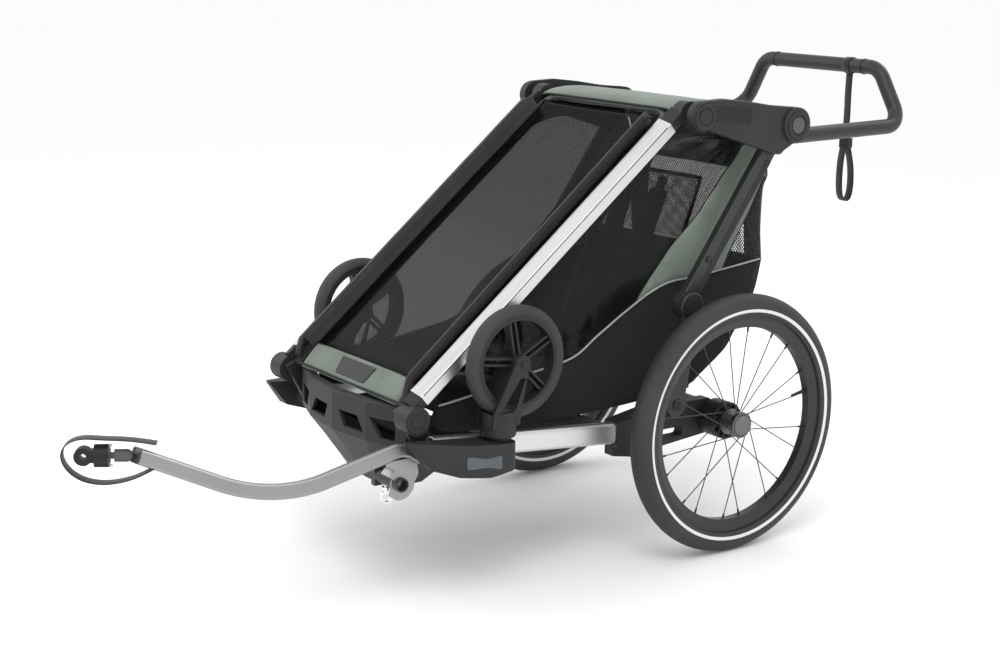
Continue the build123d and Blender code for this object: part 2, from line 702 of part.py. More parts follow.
CASTER_HUB = (CASTER_Y, CASTER_Z)
CASTER_AXLE_R = 4.0
LEG_INNER_X = (237.0, 243.0)
LEG_OUTER_X = (281.0, 287.0)
FORK_BASE_R = 31.5
FORK_BASE_Z = (299.0, 346.0)
LEG_OUTLINE = [
    (STEM_Y - 29, 320), (STEM_Y - 26, 345), (CASTER_Y - 15, 431), (CASTER_Y + 15, 431),
    (STEM_Y + 31, 345), (STEM_Y + 29, 320),
]
LEG_OPENING = [
    (STEM_Y - 8, 352), (CASTER_Y - 6, 402), (CASTER_Y + 5, 402), (STEM_Y + 21, 350), (STEM_Y + 6, 344),
]

# fork: a stem and a round base, slotted for the wheel, with a leg on each side
with BuildPart() as caster_fork:
    with BuildSketch(level_plane(FORK_BASE_Z[0])):
        with Locations((CASTER_X, STEM_Y)):
            Circle(FORK_BASE_R)
    extrude(amount=FORK_BASE_Z[1] - FORK_BASE_Z[0])
    fillet(caster_fork.faces().sort_by(Axis.Z)[0].edges(), radius=5)
    for leg_x in (LEG_INNER_X, LEG_OUTER_X):
        add(slab(*leg_x, LEG_OUTLINE))
        add(disc(*leg_x, CASTER_HUB, 15.5))
        add(slab(*leg_x, LEG_OPENING), mode=Mode.SUBTRACT)
    add(disc(LEG_INNER_X[1], LEG_OUTER_X[0], CASTER_HUB, CASTER_R + 4), mode=Mode.SUBTRACT)
    add(disc(LEG_INNER_X[1] - 1, LEG_OUTER_X[0] + 1, CASTER_HUB, CASTER_AXLE_R))
    add(disc(LEG_OUTER_X[0], LEG_OUTER_X[1] + 2, CASTER_HUB, 6))
    with BuildSketch(level_plane(245)):
        with Locations((CASTER_X, STEM_Y)):
            Circle(STEM_R)
    extrude(amount=FORK_BASE_Z[0] - 245 + 5)
save_pair(caster_fork, "caster_fork")

# a section through one stroller wheel: its own axes are (x from the wheel's middle, radius)
caster_section = Plane(origin=place(CASTER_X, *CASTER_HUB), x_dir=(1, 0, 0), z_dir=(0, -1, 0))
caster_line = Axis(place(0, *CASTER_HUB), (1, 0, 0))
CASTER_BEAD_R = 82.0

with BuildPart() as caster_tyre:
    with BuildSketch(caster_section):
        with BuildLine():
            Polyline((-12, CASTER_BEAD_R), (12, CASTER_BEAD_R), (CASTER_WIDTH / 2, 88))
            ThreePointArc((CASTER_WIDTH / 2, 88), (11, 97), (0, CASTER_R))
            ThreePointArc((0, CASTER_R), (-11, 97), (-CASTER_WIDTH / 2, 88))
            Line((-CASTER_WIDTH / 2, 88), (-12, CASTER_BEAD_R))
        make_face()
    revolve(axis=caster_line)
save_pair(caster_tyre, "caster_tyre")

# stroller wheel rim: hub and rim joined by five spokes, each a pair of parallel ribs
CASTER_SPOKES = 5
with BuildPart() as caster_rim:
    add(disc(250, 274, CASTER_HUB, CASTER_BEAD_R, 75))
    add(disc(244, 280, CASTER_HUB, 13, CASTER_AXLE_R + RUNNING_FIT))
    with BuildSketch(side_plane(253)):
        with Locations(CASTER_HUB):
            with PolarLocations(0, CASTER_SPOKES, start_angle=100):
                with Locations((44, 5.5), (44, -5.5)):
                    Rectangle(66, 4)
            Circle(CASTER_AXLE_R + 2, mode=Mode.SUBTRACT)
    extrude(amount=18)
save_pair(caster_rim, "caster_rim")

# ---------------------------------------------------------------- drawbar

HITCH_FRONT = place(90, -1119, 320)
HITCH_BEND = place(205, -930, 237)
HITCH_KNEE = place(214, -692, 290)
HITCH_REAR = place(218, -654, 273)

# hitch arm: rounded square tube on its corner, with two bends and a plug in its front end
with BuildPart() as hitch_arm:
    with BuildLine() as hitch_path:
        FilletPolyline(HITCH_FRONT, HITCH_BEND, HITCH_KNEE, HITCH_REAR, radius=[240, 45])
    front_plane = along(HITCH_FRONT, HITCH_BEND).rotated((0, 0, 42))
    with BuildSketch(front_plane):
        RectangleRounded(ARM_TUBE, ARM_TUBE, 6)
    sweep(path=hitch_path.line)
    with BuildSketch(front_plane):
        RectangleRounded(ARM_TUBE - 5, ARM_TUBE - 5, 4)
    extrude(amount=110, mode=Mode.SUBTRACT)
    with BuildSketch(front_plane.offset(2)):
        RectangleRounded(ARM_TUBE - 5, ARM_TUBE - 5, 4)
    extrude(amount=20)
save(hitch_arm, "hitch_arm")

# hitch hook: hangs under the arm's knee and grips the receiver from behind
HOOK_CENTRE = (RECEIVER_Y, RECEIVER_Z)
with BuildPart() as hitch_hook:
    add(slab(*HOOK_X, [(-712, 258), (-714, 276), (-668, 276), (-664, 246), (-676, 225), (-706, 246)]))
    add(disc(*HOOK_X, HOOK_CENTRE, 28))
    add(disc(*HOOK_X, HOOK_CENTRE, RECEIVER_R + RUNNING_FIT), mode=Mode.SUBTRACT)
    add(slab(*HOOK_X, [(-700, 232), (-740, 262), (-740, 190), (-712, 190)]), mode=Mode.SUBTRACT)
save(hitch_hook, "hitch_hook")

# hitch pin: drops through the receiver beside the hook, with a pull ring below
with BuildPart() as hitch_pin:
    add(rod(place(HITCH_PIN_X, RECEIVER_Y, 207), place(HITCH_PIN_X, RECEIVER_Y, 250), HITCH_PIN_R))
    add(rod(place(HITCH_PIN_X, RECEIVER_Y, 211), place(HITCH_PIN_X, RECEIVER_Y, 216), 8))
    add(disc(HITCH_PIN_X - 2, HITCH_PIN_X + 2, (RECEIVER_Y, 197), 12.5, 8.5))
save(hitch_pin, "hitch_pin")

# coupler: an elastomer joint that yaws on the arm's end, and a cup that pitches on its ball
coupler_dir = (Vector(*HITCH_FRONT) - Vector(*HITCH_BEND)).project_to_plane(Plane.XY).normalized()
coupler_side = coupler_dir.cross(Vector(0, 0, 1)).normalized()
BALL_R = 11.0
YAW_REACH = 15.0
BALL_REACH = 50.0
EYE_REACH = 84.0
yaw_centre = Vector(*HITCH_FRONT) + coupler_dir * YAW_REACH
ball_centre = Vector(*HITCH_FRONT) + coupler_dir * BALL_REACH
eye_centre = Vector(*HITCH_FRONT) + coupler_dir * EYE_REACH


coupler_plane = Plane(origin=yaw_centre, x_dir=coupler_dir, z_dir=coupler_side)
coupler_axis = Axis(tuple(yaw_centre), tuple(coupler_dir))
BALL_AT = BALL_REACH - YAW_REACH
JOINT_R = 10.5
NECK_R = 5.5
neck_end = BALL_AT - (BALL_R**2 - NECK_R**2) ** 0.5
with BuildPart() as coupler_knuckle:
    with BuildSketch(coupler_plane):
        with BuildLine():
            RadiusArc((-JOINT_R, 0), (0, JOINT_R), JOINT_R)
            Polyline((0, JOINT_R), (BALL_AT - 16, JOINT_R), (BALL_AT - 16, NECK_R), (neck_end, NECK_R))
            ThreePointArc((neck_end, NECK_R), (BALL_AT, BALL_R), (BALL_AT + BALL_R, 0))
            Line((BALL_AT + BALL_R, 0), (-JOINT_R, 0))
        make_face()
    revolve(axis=coupler_axis)
save(coupler_knuckle, "coupler_knuckle")

# cup: a collar round the ball, and an eye in front for the bicycle's axle
EYE_BORE_R = 5.2
CUP_R = 19.0
EYE_R = 15.0
socket_r = BALL_R + RUNNING_FIT
mouth = 4.5
mouth_r = (socket_r**2 - mouth**2) ** 0.5
with BuildPart() as coupler_cup:
    with BuildSketch(coupler_plane):
        with BuildLine():
            Polyline(
                (BALL_AT - mouth, mouth_r), (BALL_AT - 7, 12.2), (BALL_AT - 7, CUP_R), (BALL_AT + 16, CUP_R),
                (BALL_AT + 16, 0), (BALL_AT + socket_r, 0),
            )
            ThreePointArc((BALL_AT + socket_r, 0), (BALL_AT, socket_r), (BALL_AT - mouth, mouth_r))
        make_face()
    revolve(axis=coupler_axis)
    with BuildSketch(Plane(origin=ball_centre + coupler_dir * 14, x_dir=coupler_side, z_dir=coupler_dir)):
        Rectangle(18, 20)
    extrude(amount=EYE_REACH - BALL_REACH - 14)
    add(rod(tuple(eye_centre - coupler_side * 9), tuple(eye_centre + coupler_side * 9), EYE_R))
    add(
        rod(tuple(eye_centre - coupler_side * 20), tuple(eye_centre + coupler_side * 20), EYE_BORE_R),
        mode=Mode.SUBTRACT,
    )
save(coupler_cup, "coupler_cup")

# coupler pins: two bright pins through the cup, above and below the ball
COUPLER_PIN_R = 1.9
with BuildPart() as coupler_pins:
    for height in (17.0, -17.0):
        offset = Vector(0, 0, height)
        back = ball_centre + offset - coupler_dir * 13
        front = ball_centre + offset - coupler_dir * 7
        add(rod(tuple(back), tuple(front), COUPLER_PIN_R))
save(coupler_pins, "coupler_pins")

# safety strap: a slack loop of webbing from under the arm, round the coupler and over its top
SAFETY_WIDTH = 25.0
SAFETY_THICKNESS = 2.0
SAFETY_ROUTE = [
    (30, -20.5), (8, -33), (-22, -43), (-56, -47), (-88, -40), (-111, -22), (-121, 2),
    (-111, 23), (-86, 32), (-52, 29), (-20, 28), (8, 25), (34, 20.2),
]


def beside_coupler(reach, height):
    """A point in the coupler's upright middle plane, reach behind the arm's front end."""
    point = Vector(*HITCH_FRONT) - coupler_dir * reach
    return (point.X, point.Y, point.Z + height)


with BuildPart() as safety_strap:
    add(strap(
        [beside_coupler(reach, height) for reach, height in SAFETY_ROUTE],
        SAFETY_WIDTH, SAFETY_THICKNESS, coupler_side,
    ))
save(safety_strap, "safety_strap")

# ---------------------------------------------------------------- seat and cabin fabric

SEAT_HALF = 165.0
SEAT_OUTLINE = [
    (-345, 352), (-345, 318), (-110, 292), (-58, 300), (70, 700), (30, 712), (-100, 356), (-130, 336),
]
with BuildPart() as seat:
    add(slab(-SEAT_HALF, SEAT_HALF, SEAT_OUTLINE))
save(seat, "seat")

# harness buckle: lies on the seat between the child's legs, with a push button in its face
BUCKLE_Y = -225.0
BUCKLE_Z = 350.0
BUCKLE_BUTTON = 14.0
with BuildPart() as harness_buckle:
    with BuildSketch(level_plane(BUCKLE_Z)):
        with Locations((0, BUCKLE_Y)):
            RectangleRounded(36, 50, 8)
    extrude(amount=14)
    fillet(harness_buckle.faces().sort_by(Axis.Z)[-1].edges(), radius=3)
    with BuildSketch(level_plane(BUCKLE_Z + 6)):
        with Locations((0, BUCKLE_Y)):
            RectangleRounded(BUCKLE_BUTTON + 1, BUCKLE_BUTTON + 1, 2)
    extrude(amount=10, mode=Mode.SUBTRACT)
save(harness_buckle, "harness_buckle")

BUTTON_DROP = 3.0
with BuildPart() as buckle_button:
    with BuildSketch(level_plane(BUCKLE_Z + 6 + BUTTON_DROP + 0.2)):
        with Locations((0, BUCKLE_Y)):
            RectangleRounded(BUCKLE_BUTTON, BUCKLE_BUTTON, 1.6)
    extrude(amount=5)
save(buckle_button, "buckle_button")

# side panels: windows and lower cloth between the floor, the pillars and the rear
SIDE_OUTLINE = [
    (-625, 360), (-604, 330), (-596, 300), (-250, 287), (-43, 301), (8, 330), (61, 367),
    (86, 398), (133, 469), (152, 535), (147, 673), (160, 703), (124, 788), (60, 826), (-40, 838),
    (-60, 800), (-150, 757),
]
with BuildPart() as side_panel:
    add(slab(PANEL_X - CLOTH, PANEL_X, SIDE_OUTLINE))
save_both(side_panel, "side_panels")

# front cover: lies between the pillars, from the bumper rail up to the roof tube
COVER_HALF = 172.0
with BuildPart() as front_cover:
    add(slab(-COVER_HALF, COVER_HALF, [(-640, 376.5), (-638, 374), (-112, 809.8), (-114, 812.3)]))
save(front_cover, "front_cover")

# roof canopy: from the roof tube back to the top of the rear panel
ROOF_HALF = 189.0
with BuildPart() as roof_canopy:
    add(slab(-ROOF_HALF, ROOF_HALF, [
        (-70, 842), (-20, 849), (62, 838), (128, 797), (126, 794), (61, 834.5), (-20, 845.5), (-70, 838.5),
    ]))
save(roof_canopy, "roof_canopy")

# rear panel: a net with a cloth edge, from the roof down to the bag
with BuildPart() as rear_panel:
    add(slab(-ROOF_HALF, ROOF_HALF, [
        (130, 786), (160, 703), (147, 673), (151, 535), (134, 478), (131, 478), (148, 535), (144, 673),
        (157, 703), (127, 784),
    ]))
save(rear_panel, "rear_panel")

# cargo bag: hangs behind the seat, open at the top
BAG_OUTER = [(-34, 304), (8, 332), (59, 369), (83, 400), (130, 470), (38, 470), (-20, 330)]
BAG_INNER = [(-26, 316), (8, 338), (55, 373), (79, 404), (124, 471), (44, 471), (-12, 330)]
with BuildPart() as cargo_bag:
    add(slab(-ROOF_HALF, ROOF_HALF, BAG_OUTER))
    add(slab(CLOTH - ROOF_HALF, ROOF_HALF - CLOTH, BAG_INNER), mode=Mode.SUBTRACT)
save(cargo_bag, "cargo_bag")
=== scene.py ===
import json
import math

import bmesh
import bpy
from mathutils import Matrix, Vector, geometry, noise


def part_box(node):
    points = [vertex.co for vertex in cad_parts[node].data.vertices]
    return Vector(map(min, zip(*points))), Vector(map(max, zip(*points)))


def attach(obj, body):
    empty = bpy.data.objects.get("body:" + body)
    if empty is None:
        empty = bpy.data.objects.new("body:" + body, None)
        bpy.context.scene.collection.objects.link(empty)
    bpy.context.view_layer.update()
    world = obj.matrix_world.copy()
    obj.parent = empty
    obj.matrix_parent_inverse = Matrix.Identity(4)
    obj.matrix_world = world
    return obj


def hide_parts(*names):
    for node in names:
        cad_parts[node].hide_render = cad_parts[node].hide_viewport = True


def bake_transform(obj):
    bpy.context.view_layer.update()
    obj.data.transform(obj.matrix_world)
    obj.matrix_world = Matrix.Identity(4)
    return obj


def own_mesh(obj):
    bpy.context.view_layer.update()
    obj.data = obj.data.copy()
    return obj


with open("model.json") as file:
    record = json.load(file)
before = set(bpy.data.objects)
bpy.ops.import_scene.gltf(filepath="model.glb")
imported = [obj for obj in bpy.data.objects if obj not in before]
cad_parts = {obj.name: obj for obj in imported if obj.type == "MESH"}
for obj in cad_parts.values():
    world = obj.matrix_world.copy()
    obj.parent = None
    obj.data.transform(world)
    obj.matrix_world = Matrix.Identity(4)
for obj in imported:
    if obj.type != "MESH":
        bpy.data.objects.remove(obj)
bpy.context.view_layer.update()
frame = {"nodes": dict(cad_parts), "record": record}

# Child bicycle trailer. Metres, in the frame of the CAD model: +Z up, -Y the direction of
# travel, +X the trailer's left side. Places are written in millimetres as (x, y, z), with
# y counted backwards from the main axle, and at() turns them into the frame.

TYRE_LOW, TYRE_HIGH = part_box("tyre_left")
AXLE_Y = (TYRE_LOW.y + TYRE_HIGH.y) / 2
WHEEL_R = TYRE_HIGH.z / 2
SIDES = (("left", 1), ("right", -1))

BLACK_CLOTH = (0.0068, 0.0068, 0.0072)
GREEN_CLOTH = (0.150, 0.184, 0.152)
CHARCOAL = (0.022, 0.023, 0.024)


def at(x, y, z):
    """A place in the frame, from millimetres with y counted from the axle."""
    return Vector((x / 1000, AXLE_Y + y / 1000, z / 1000))


def placed(name, data):
    """A new object in the scene."""
    made = bpy.data.objects.new(name, data)
    bpy.context.scene.collection.objects.link(made)
    return made


# ------ camera, light and floor

# the photograph's angle: azimuth and elevation of the line back to the camera, and its roll
CAMERA_ANGLES = (54.4352, 12.9788, 0.6617)
CAMERA_PLACE = (2602.3, -2193.7, 1144.3)
CAMERA_LENS, SENSOR_WIDTH = 61.917, 36
LIGHT_TARGET = (0, -200, 400)
LIGHTS = (  # name, place, size in metres, power in watts
    ("key", (1800, -1500, 3200), 1.6, 38),
    ("fill", (-2600, -1800, 2200), 2.4, 20),
    ("back", (-500, 3000, 2600), 2.0, 26),
)
FLOOR_SIZE = 400


def make_camera():
    """The camera at the photograph's angle."""
    azimuth, elevation, roll = (math.radians(angle) for angle in CAMERA_ANGLES)
    camera = placed("camera", bpy.data.cameras.new("camera"))
    camera.data.sensor_width = SENSOR_WIDTH
    camera.data.lens = CAMERA_LENS
    camera.data.clip_end = 50
    tilt = Matrix.Rotation(math.pi / 2 - elevation, 4, "X") @ Matrix.Rotation(roll, 4, "Z")
    turn = Matrix.Rotation(azimuth, 4, "Z")
    camera.matrix_world = Matrix.Translation(at(*CAMERA_PLACE)) @ turn @ tilt
    bpy.context.scene.camera = camera


def make_studio():
    """White world, three soft lights and a pale floor."""
    scene = bpy.context.scene
    scene.view_settings.view_transform = "Standard"
    world = bpy.data.worlds.new("studio")
    world.use_nodes = True
    background = world.node_tree.nodes["Background"].inputs
    background["Color"].default_value = (1, 1, 1, 1)
    background["Strength"].default_value = 1.0
    scene.world = world
    for name, place, size, power in LIGHTS:
        light = bpy.data.lights.new(name, "AREA")
        light.size = size
        light.energy = power
        lamp = placed(name, light)
        lamp.location = at(*place)
        toward = at(*LIGHT_TARGET) - at(*place)
        lamp.rotation_euler = toward.to_track_quat("-Z", "Y").to_euler()
    bpy.ops.mesh.primitive_plane_add(size=FLOOR_SIZE, location=(0, 0, 0))
    floor = bpy.context.object
    floor.name = "floor"
    pale = plain_material("floor", (0.97, 0.97, 0.97), 0.9, Specular_IOR_Level=0.0)
    floor.data.materials.append(pale)


# ------ material helpers

def plain_material(name, colour, roughness, **sockets):
    """A Principled material with constants on its own sockets."""
    material = bpy.data.materials.new(name)
    material.use_nodes = True
    shader = material.node_tree.nodes["Principled BSDF"]
    shader.inputs["Base Color"].default_value = (*colour, 1)
    shader.inputs["Roughness"].default_value = roughness
    for socket, value in sockets.items():
        shader.inputs[socket.replace("_", " ")].default_value = value
    return material


def node(material, kind, **values):
    """A new node of a kind, with its sockets or settings filled in."""
    made = material.node_tree.nodes.new(kind)
    for key, value in values.items():
        if key.startswith("set_"):
            setattr(made, key[4:], value)
        else:
            made.inputs[key.replace("_", " ")].default_value = value
    return made


def wire(material, source, target):
    """Link an output socket to an input socket."""
    material.node_tree.links.new(source, target)


def principled(material):
    """The material's shader."""
    return material.node_tree.nodes["Principled BSDF"]


def object_coordinates(material):
    """Coordinates in the frame, in metres."""
    return node(material, "ShaderNodeTexCoord").outputs["Object"]


def noise_value(material, scale, detail=3.0, stretch=(1, 1, 1)):
    """Smooth noise over the frame's coordinates, stretched along its axes."""
    mapping = node(material, "ShaderNodeMapping", Scale=stretch)
    wire(material, object_coordinates(material), mapping.inputs["Vector"])
    texture = node(material, "ShaderNodeTexNoise", Scale=scale, Detail=detail)
    wire(material, mapping.outputs["Vector"], texture.inputs["Vector"])
    return texture.outputs["Fac"]


def vary_colour(material, value, dark, light, low=0.3, high=0.7):
    """The base colour goes from dark to light with a value."""
    ramp = node(material, "ShaderNodeValToRGB")
    for stop, position, colour in zip(ramp.color_ramp.elements, (low, high), (dark, light)):
        stop.position = position
        stop.color = (*colour, 1)
    wire(material, value, ramp.inputs["Fac"])
    wire(material, ramp.outputs["Color"], principled(material).inputs["Base Color"])


def bump(material, height, strength, distance):
    """Raise the surface by a height value."""
    made = node(material, "ShaderNodeBump", Strength=strength, Distance=distance)
    wire(material, height, made.inputs["Height"])
    shader = principled(material)
    if shader.inputs["Normal"].is_linked:
        wire(material, shader.inputs["Normal"].links[0].from_socket, made.inputs["Normal"])
    wire(material, made.outputs["Normal"], shader.inputs["Normal"])


def drifting(name, colour, roughness, noise_scale, shades, span=None, **sockets):
    """A material whose colour drifts with slow noise between two shades of it, and its roughness
    too if it has a span to go below and above. noise_scale is the noise's scale, then its detail
    and stretch."""
    material = plain_material(name, colour, roughness, **sockets)
    drift = noise_value(material, *noise_scale)
    dark, light = ([channel * shade for channel in colour] for shade in shades)
    vary_colour(material, drift, dark, light)
    if span:
        spread = node(
            material, "ShaderNodeMapRange", To_Min=roughness - span[0], To_Max=roughness + span[1],
        )
        wire(material, drift, spread.inputs["Value"])
        wire(material, spread.outputs["Result"], principled(material).inputs["Roughness"])
    return material, drift


def bands(material, scale, direction):
    """Regular ridges along a diagonal or an axis, for weave and ribs."""
    texture = node(
        material, "ShaderNodeTexWave", set_wave_type="BANDS", set_bands_direction=direction,
        Scale=scale,
    )
    wire(material, object_coordinates(material), texture.inputs["Vector"])
    return texture.outputs["Fac"]


def math_node(material, operation, first, second=None):
    """A maths node whose inputs are sockets or numbers."""
    made = node(material, "ShaderNodeMath", set_operation=operation)
    for socket, value in zip(made.inputs, (first, second)):
        if isinstance(value, (int, float)):
            socket.default_value = value
        elif value is not None:
            wire(material, value, socket)
    return made.outputs["Value"]


# ------ materials

def moulded(name, colour, roughness=0.5, grain=1800):
    """Moulded plastic with a fine spark-eroded grain."""
    material, _ = drifting(
        name, colour, roughness, (22,), (0.86, 1.14), (0.06, 0.08), Specular_IOR_Level=0.3,
    )
    bump(material, noise_value(material, grain, 2), 0.25, 0.0003)
    return material


def painted(name, colour, roughness=0.38):
    """Powder-coated metal, with a faint orange peel."""
    material, _ = drifting(
        name, colour, roughness, (30,), (0.9, 1.12), (0.05, 0.07), Metallic=0.25, Coat_Weight=0.15,
        Coat_Roughness=0.35,
    )
    bump(material, noise_value(material, 700, 2), 0.12, 0.0003)
    return material


def alloy(name, colour, roughness, stretch):
    """Anodised aluminium, with fine lines drawn along one direction."""
    material, lines = drifting(
        name, colour, roughness, (40, 4, stretch), (0.93, 1.05), (0.06, 0.08), Metallic=1.0,
    )
    bump(material, lines, 0.05, 0.0003)
    return material


def woven(name, colour, roughness=0.86, sheen=0.12, thread=900):
    """Coated woven cloth: crossing threads, a soft sheen and slow changes of tone."""
    material, _ = drifting(
        name, colour, roughness, (14, 5), (0.84, 1.14), Sheen_Weight=sheen, Sheen_Roughness=0.5,
        Specular_IOR_Level=0.25,
    )
    weave = math_node(material, "MULTIPLY", bands(material, thread, "X"), bands(material, thread, "Z"))
    bump(material, weave, 0.05, 0.0004)
    bump(material, noise_value(material, 260, 3), 0.25, 0.0005)
    return material


def ribbed(name, colour):
    """Webbing: narrow ribs across a matt black ribbon."""
    material, _ = drifting(
        name, colour, 0.8, (60,), (0.8, 1.25), Sheen_Weight=0.3, Specular_IOR_Level=0.3,
    )
    bump(material, bands(material, 420, "DIAGONAL"), 0.5, 0.0006)
    return material


def rubber(name, colour, roughness=0.62):
    """Moulded rubber with a slightly dusty bloom."""
    material, _ = drifting(name, colour, roughness, (12, 5), (0.82, 1.2), Specular_IOR_Level=0.35)
    bump(material, noise_value(material, 900, 2), 0.3, 0.0003)
    return material


def place_parts(material):
    """The X, Y and Z of a place in the frame."""
    parts = node(material, "ShaderNodeSeparateXYZ")
    wire(material, object_coordinates(material), parts.inputs["Vector"])
    return parts.outputs


def about_axle(material):
    """Distance from the main axle, in metres, and the angle around it."""
    parts = place_parts(material)
    across = math_node(material, "SUBTRACT", parts["Y"], AXLE_Y)
    upward = math_node(material, "SUBTRACT", parts["Z"], WHEEL_R)
    squares = [math_node(material, "POWER", value, 2.0) for value in (across, upward)]
    radius = math_node(material, "SQRT", math_node(material, "ADD", *squares))
    return radius, math_node(material, "ARCTAN2", upward, across)


STRIPE_R, STRIPE_HALF = 0.2208, 0.0030
STRIPE_COLOUR = (0.72, 0.73, 0.73)
TREAD_DEPTH, TREAD_WAVES = 0.009, 420.0


def tyre_rubber():
    """Main tyre: dusty rubber, file tread on the crown and a reflective stripe on the walls."""
    material = rubber("tyre_rubber", (0.034, 0.035, 0.036), 0.62)
    radius, angle = about_axle(material)
    off = math_node(material, "ABSOLUTE", math_node(material, "SUBTRACT", radius, STRIPE_R))
    stripe = math_node(material, "LESS_THAN", off, STRIPE_HALF)
    ramp = principled(material).inputs["Base Color"].links[0].from_socket
    mix = node(material, "ShaderNodeMix", set_data_type="RGBA")
    under, over = [s for s in mix.inputs if s.type == "RGBA"]
    over.default_value = (*STRIPE_COLOUR, 1)
    wire(material, stripe, mix.inputs["Factor"])
    wire(material, ramp, under)
    colour_out = [s for s in mix.outputs if s.type == "RGBA"][0]
    wire(material, colour_out, principled(material).inputs["Base Color"])
    crown = math_node(material, "GREATER_THAN", radius, WHEEL_R - TREAD_DEPTH)
    waves = math_node(material, "SINE", math_node(material, "MULTIPLY", angle, TREAD_WAVES))
    bump(material, math_node(material, "MULTIPLY", waves, crown), 0.5, 0.0008)
    return material


# a film has two faces, so each lets more through than the sheet does
FILM_ALPHA = 0.53
SIDE_TINT = (0.006, 0.0075, 0.006)
# painted reflection: a pale grey mixed into the side film's colour in streaks, fading in above a height
# in metres
PAINTED_GLINT_GREY = (0.060, 0.064, 0.060)
GLINT_LOW, GLINT_RISE = 0.66, 16.0


def tinted_film():
    """The front window's tinted film: dark and see-through, with little shine."""
    material = plain_material(
        "tinted_film", (0.004, 0.004, 0.004), 0.12, Alpha=FILM_ALPHA, Specular_IOR_Level=0.06,
    )
    bump(material, noise_value(material, 9, 2), 0.04, 0.004)
    return material


def side_film():
    """The side windows' tinted film: slightly green, with pale streaks painted into its colour on top,
    as painted reflections in its creases.
    """
    material = plain_material("side_film", SIDE_TINT, 0.2, Alpha=FILM_ALPHA, Specular_IOR_Level=0.22)
    # painted highlight: the film's colour turns pale in stretched streaks of noise over its upper part,
    # standing in for reflections off its creases
    above = math_node(material, "SUBTRACT", place_parts(material)["Z"], GLINT_LOW)
    above = math_node(material, "MINIMUM", math_node(material, "MULTIPLY", above, GLINT_RISE), 1.0)
    painted_glints = noise_value(material, 13, 2, (1.0, 0.55, 2.6))
    vary_colour(material, math_node(material, "MULTIPLY", painted_glints, above), SIDE_TINT, PAINTED_GLINT_GREY, 0.52, 0.57)
    bump(material, noise_value(material, 14, 2), 0.08, 0.004)
    return material


def net(name, colour, cell, thread):
    """Open net: two sets of crossing threads, clear between them."""
    material = plain_material(name, colour, 0.7, Specular_IOR_Level=0.3)
    parts = place_parts(material)
    sideways = math_node(material, "ADD", parts["X"], parts["Y"])
    threads = []
    for lean in (1.25, -1.25):
        leaning = math_node(material, "MULTIPLY", sideways, lean)
        slanted = math_node(material, "ADD", leaning, parts["Z"])
        phase = math_node(material, "FRACT", math_node(material, "MULTIPLY", slanted, 1 / cell))
        threads.append(math_node(material, "LESS_THAN", phase, thread))
    both = math_node(material, "MAXIMUM", *threads)
    wire(material, both, principled(material).inputs["Alpha"])
    return material


# ------ mesh helpers

def new_object(name, verts, faces, material, smooth=True):
    """A mesh object from points in the frame."""
    mesh = bpy.data.meshes.new(name)
    mesh.from_pydata([tuple(v) for v in verts], [], faces)
    mesh.validate()
    mesh.update()
    mesh.materials.append(material)
    for polygon in mesh.polygons:
        polygon.use_smooth = smooth
    return placed(name, mesh)


def replace_mesh(piece, result):
    """Give a piece its new mesh, without modifiers."""
    piece.modifiers.clear()
    old = piece.data
    piece.data = result
    bpy.data.meshes.remove(old)


def apply_modifier(piece, kind, **settings):
    """Add a modifier, apply it and leave only its result."""
    modifier = piece.modifiers.new(kind.lower(), kind)
    for key, value in settings.items():
        setattr(modifier, key, value)
    bpy.context.view_layer.update()
    replace_mesh(piece, evaluated_mesh(piece))


def face_outward(piece):
    """Turn a closed piece's faces outward."""
    mesh = bmesh.new()
    mesh.from_mesh(piece.data)
    bmesh.ops.recalc_face_normals(mesh, faces=mesh.faces)
    mesh.to_mesh(piece.data)
    mesh.free()


def evaluated_mesh(piece):
    """A new mesh of a piece with its modifiers, or of a curve."""
    ready = piece.evaluated_get(bpy.context.evaluated_depsgraph_get())
    return bpy.data.meshes.new_from_object(ready)


def smooth_line(points, steps=6):
    """A Catmull-Rom line through points, as a list with a few steps between each pair."""
    vectors = [Vector(p) for p in points]
    line = []
    for index in range(len(vectors) - 1):
        before = vectors[max(index - 1, 0)]
        start, end = vectors[index], vectors[index + 1]
        after = vectors[min(index + 2, len(vectors) - 1)]
        for step in range(steps):
            t = step / steps
            line.append(0.5 * (
                2 * start + (end - before) * t + (2 * before - 5 * start + 4 * end - after) * t * t
                + (3 * start - before - 3 * end + after) * t ** 3
            ))
    line.append(vectors[-1])
    return line


def resample(line, spacing):
    """Points along a polyline, evenly spaced, with both ends kept."""
    lengths = [0.0]
    for first, second in zip(line, line[1:]):
        lengths.append(lengths[-1] + (second - first).length)
    count = max(2, round(lengths[-1] / spacing) + 1)
    made = []
    segment = 0
    for index in range(count):
        wanted = lengths[-1] * index / (count - 1)
        while segment < len(line) - 2 and lengths[segment + 1] < wanted:
            segment += 1
        span = lengths[segment + 1] - lengths[segment]
        share = (wanted - lengths[segment]) / span if span > 0 else 0
        made.append(line[segment].lerp(line[segment + 1], share))
    return made


# a patch's inner points stand in triangles: how far apart its rows are, and how far a point
# keeps from the outline, both as shares of the spacing
ROW_SHARE, EDGE_SHARE = 0.87, 0.55
CLOTH_THICKNESS = 1.2


